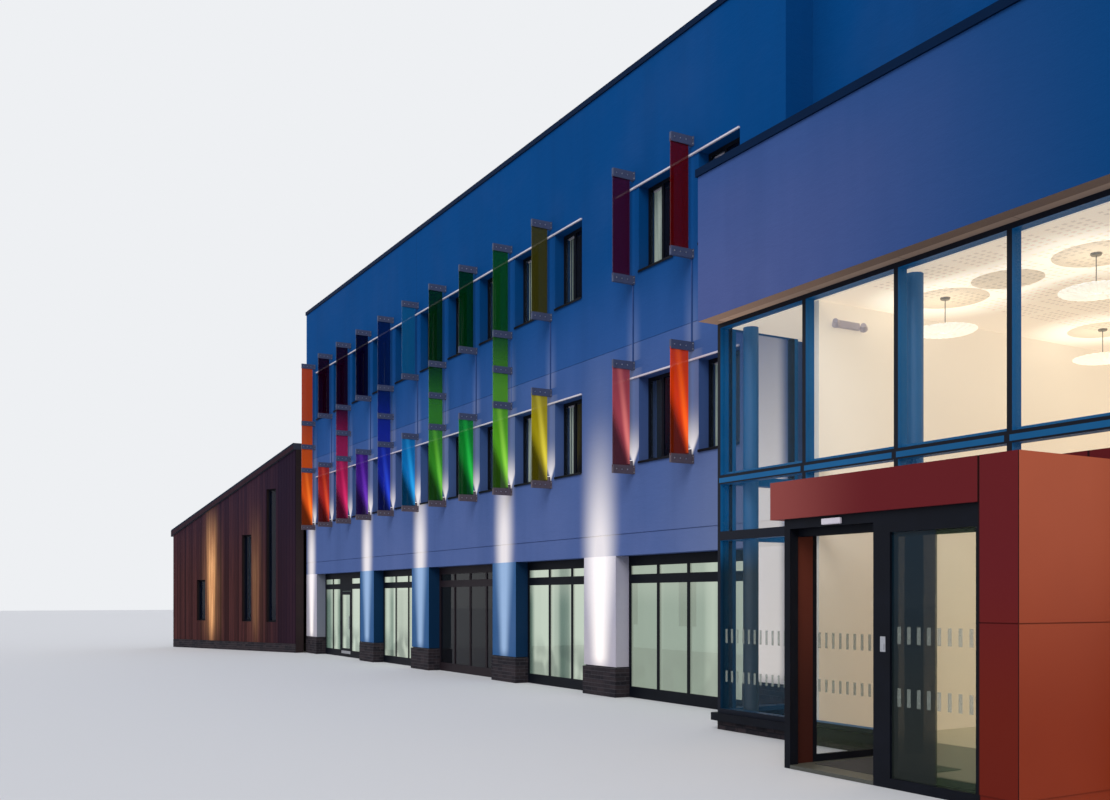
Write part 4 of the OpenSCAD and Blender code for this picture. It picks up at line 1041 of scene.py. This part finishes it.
panel_finish.feed(
    Base_Color=mix(shadow_joint * 0.9, panel_colour, (22, 8, 12)),
    Normal=relief(panel_cloud, 0.01, 0.2))
coat(panel_finish, "portal_beam", "portal_side")

sensor = block(place(28.215, -3.032, 2.675), place(28.49, -2.93, 2.742), 0.012, 3)
mount(sensor, "door_sensor", trim_finish)
pad_plate = block(place(29.025, -3.006, 1.355), place(29.095, -2.999, 1.51), 0.003, 2)
pad_button = block(place(29.04, -3.012, 1.38), place(29.08, -3.004, 1.44), 0.003, 2)
mount(joined(pad_button, pad_plate), "push_pad", bar_finish)
mat_finish = Finish("barrier_mat", 0.95)
x, y, z = mat_finish.places()
mat_finish.feed(Base_Color=mix(fract(y / 0.03) < 0.5, (30, 30, 32), (62, 60, 58)))
mat_pile = block((0, 0, 0), (1.1, 0.022, 0.008), 0.002)
mat_moves = [move(27.78, -2.70 + 0.030 * i, 0.040) for i in range(36)]
mount(repeated(mat_pile, mat_moves), "entrance_mat", mat_finish)

# The timber wing: vertical boards 145 mm wide, stained dark red-brown, fixed over the walls with
# 6 mm gaps and cut to the roof's slope and round the slit windows, under a standing-seam roof.
timber_finish = Finish("stained_timber", 0.7, 0.05)
x, y, z = timber_finish.places()
along = x * -math.cos(wing_angle) + y * -math.sin(wing_angle)
board_tone = timber_finish.chance(whole(along / 0.151) + whole(y / 0.151) * 13.0)
grain = timber_finish.noise(14, 5, 0.65, (1, 1, 0.06))
fine = timber_finish.noise(90, 3, 0.6, (1, 1, 0.03))
stain = mix(board_tone, (24, 8, 14), (78, 44, 44))
stain = mix(rise(grain, 0.35, 0.75) * 0.6, stain, (30, 18, 26))
# Higher up the boards are painted darker and bluer as dusk light, and next to the block darker
# still as its shade.
stain = mix(rise(z, 2.0, 6.2) * 0.62, stain, (26, 26, 52))
shade_by_block = 1 - rise(along, 0.2, 2.4)
stain = mix(shade_by_block * 0.75, mix(fine * 0.3, stain, (84, 52, 50)), (28, 20, 38))
timber_finish.feed(Base_Color=stain)
# Light from lamps below washes the front boards, painted on as a glow.
wash_light = 0.0
for wash_at, wash in ((4.87, 1.0), (2.22, 0.16)):
    off = abs(along - 0.14 - wash_at)
    beam = rise(0.10 + z * 0.05 - off, -0.12, 0.16)
    wash_light = (beam + rise(0.85 - off, 0.0, 0.8) * 0.22) * wash + wash_light
wash_light = wash_light * rise(z, -0.3, 1.3) * (1 - rise(z, 2.2, 5.6))
wash_light = wash_light * (timber_finish.facing()[1] < -0.5)
timber_finish.feed(
    Emission_Color=mix(wash_light, black,
                       mix(rise(grain, 0.3, 0.7), (246, 186, 124), (206, 142, 90))),
    Emission_Strength=0.9,
    Normal=relief(grain + fine * 0.4, 0.003, 0.5))

sheath_finish = Finish("wall_sheathing", 0.9)
sheath_finish.feed(Base_Color=mix(sheath_finish.noise(3, 3), (18, 6, 9), (36, 15, 17)))
coat(sheath_finish, "wing_walls")

board_w, board_gap, board_t = 0.145, 0.006, 0.022
eaves_top, ridge_top, roof_t = 4.50, 7.21, 0.22
eaves_under, ridge_under = eaves_top - roof_t, ridge_top - roof_t
roof_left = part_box("wing_walls")[0].x


def boards(origin, turn, length, openings=()):
    """A run of vertical boards cut to the slope of the roof and round openings."""
    count = int(length / (board_w + board_gap))
    pitch = length / count
    board = block((board_gap / 2, -board_t, 0.31), (pitch - board_gap / 2, 0, 7.30), 0.003)
    run = repeated(board, [Matrix.Translation((pitch * i, 0, 0)) for i in range(count)])
    run.data.transform(Matrix.Translation(origin) @ Matrix.Rotation(turn, 4, "Z"))
    only(run)
    slope = (ridge_under - eaves_under) / (corner.x - roof_left)
    bpy.ops.object.mode_set(mode="EDIT")
    bpy.ops.mesh.select_all(action="SELECT")
    bpy.ops.mesh.bisect(plane_co=(corner.x, 0, ridge_under - 0.004), plane_no=(-slope, 0, 1),
                        use_fill=True, clear_outer=True)
    bpy.ops.object.mode_set(mode="OBJECT")
    for low, high in openings:
        cutter = block(low, high)
        cutter.data.transform(Matrix.Translation(origin) @ Matrix.Rotation(turn, 4, "Z"))
        only(run)
        hole = run.modifiers.new("opening", "BOOLEAN")
        hole.operation, hole.object, hole.solver = "DIFFERENCE", cutter, "EXACT"
        bpy.ops.object.modifier_apply(modifier="opening")
        bpy.data.objects.remove(cutter)
    return run


slits = ((1.06, 5.71), (2.47, 4.15), (5.26, 2.56))
slit_w, slit_sill = 0.54, 1.04
slit_boxes = [((wing_front - at - slit_w, -0.1, slit_sill), (wing_front - at, 0.1, head))
              for at, head in slits]
front_boards = boards(wing_end, wing_angle, wing_front, slit_boxes)
mount(front_boards, "wing_front_boards", timber_finish)
wing_back_y = corner.y + 8.0
left_boards = boards(Vector((wing_end.x, wing_back_y, 0)), -quarter_turn, wing_back_y - wing_end.y)
mount(left_boards, "wing_left_boards", timber_finish)
back_boards = boards(Vector((corner.x, wing_back_y, 0)), math.radians(180), corner.x - wing_end.x)
mount(back_boards, "wing_back_boards", timber_finish)

roof_finish = Finish("standing_seam_sheet", 0.5, 0.08)
x, y, z = roof_finish.places()
roof_wave = roof_finish.noise(1.5, 3)
sheet = mix(roof_wave, (44, 48, 58), (66, 70, 80))
nx, ny, nz = roof_finish.facing()
roof_fall, roof_run = ridge_top - eaves_top, corner.x - roof_left
below_top = ridge_top + x * roof_fall / roof_run - z
front_edge, boarding = ny < -0.5, below_top > 0.055
along = x * -math.cos(wing_angle) + y * -math.sin(wing_angle) - 0.14
board_edge = fract(along / 0.15333) < 0.05
boarded = mix(roof_finish.noise(14, 5, 0.65, (1, 1, 0.06)), (26, 14, 26), (54, 32, 42))
boarded = mix(board_edge, boarded, (22, 14, 18))
roof_finish.feed(
    Base_Color=mix(front_edge, sheet, mix(boarding, (6, 30, 50), boarded)),
    Normal=relief(roof_wave, 0.01, 0.35))
coat(roof_finish, "wing_roof")
slope_turn = math.atan2(roof_fall, roof_run)
seam_len = math.hypot(roof_run, roof_fall) + 0.08
seam = block((-seam_len, -0.006, -0.004), (0.0, 0.006, 0.026), 0.002)
seam_pitch, longest_gap = 0.43, 6.6
seam_moves = []
for i in range(26):
    seam_y = wing_back_y + 0.05 - seam_pitch * i
    reach = wing_corner.y - 0.06 - seam_y
    start_x = corner.x - max(0.0, reach / math.tan(wing_angle))
    gap = corner.x - start_x
    if gap < longest_gap:
        cut = (seam_len - gap / math.cos(slope_turn)) / seam_len
        height = ridge_top - gap * math.tan(slope_turn)
        seam_moves.append(Matrix.Translation((start_x, seam_y, height))
                          @ Matrix.Rotation(-slope_turn, 4, "Y") @ Matrix.Diagonal((cut, 1, 1, 1)))
mount(repeated(seam, seam_moves), "roof_seams", roof_finish)
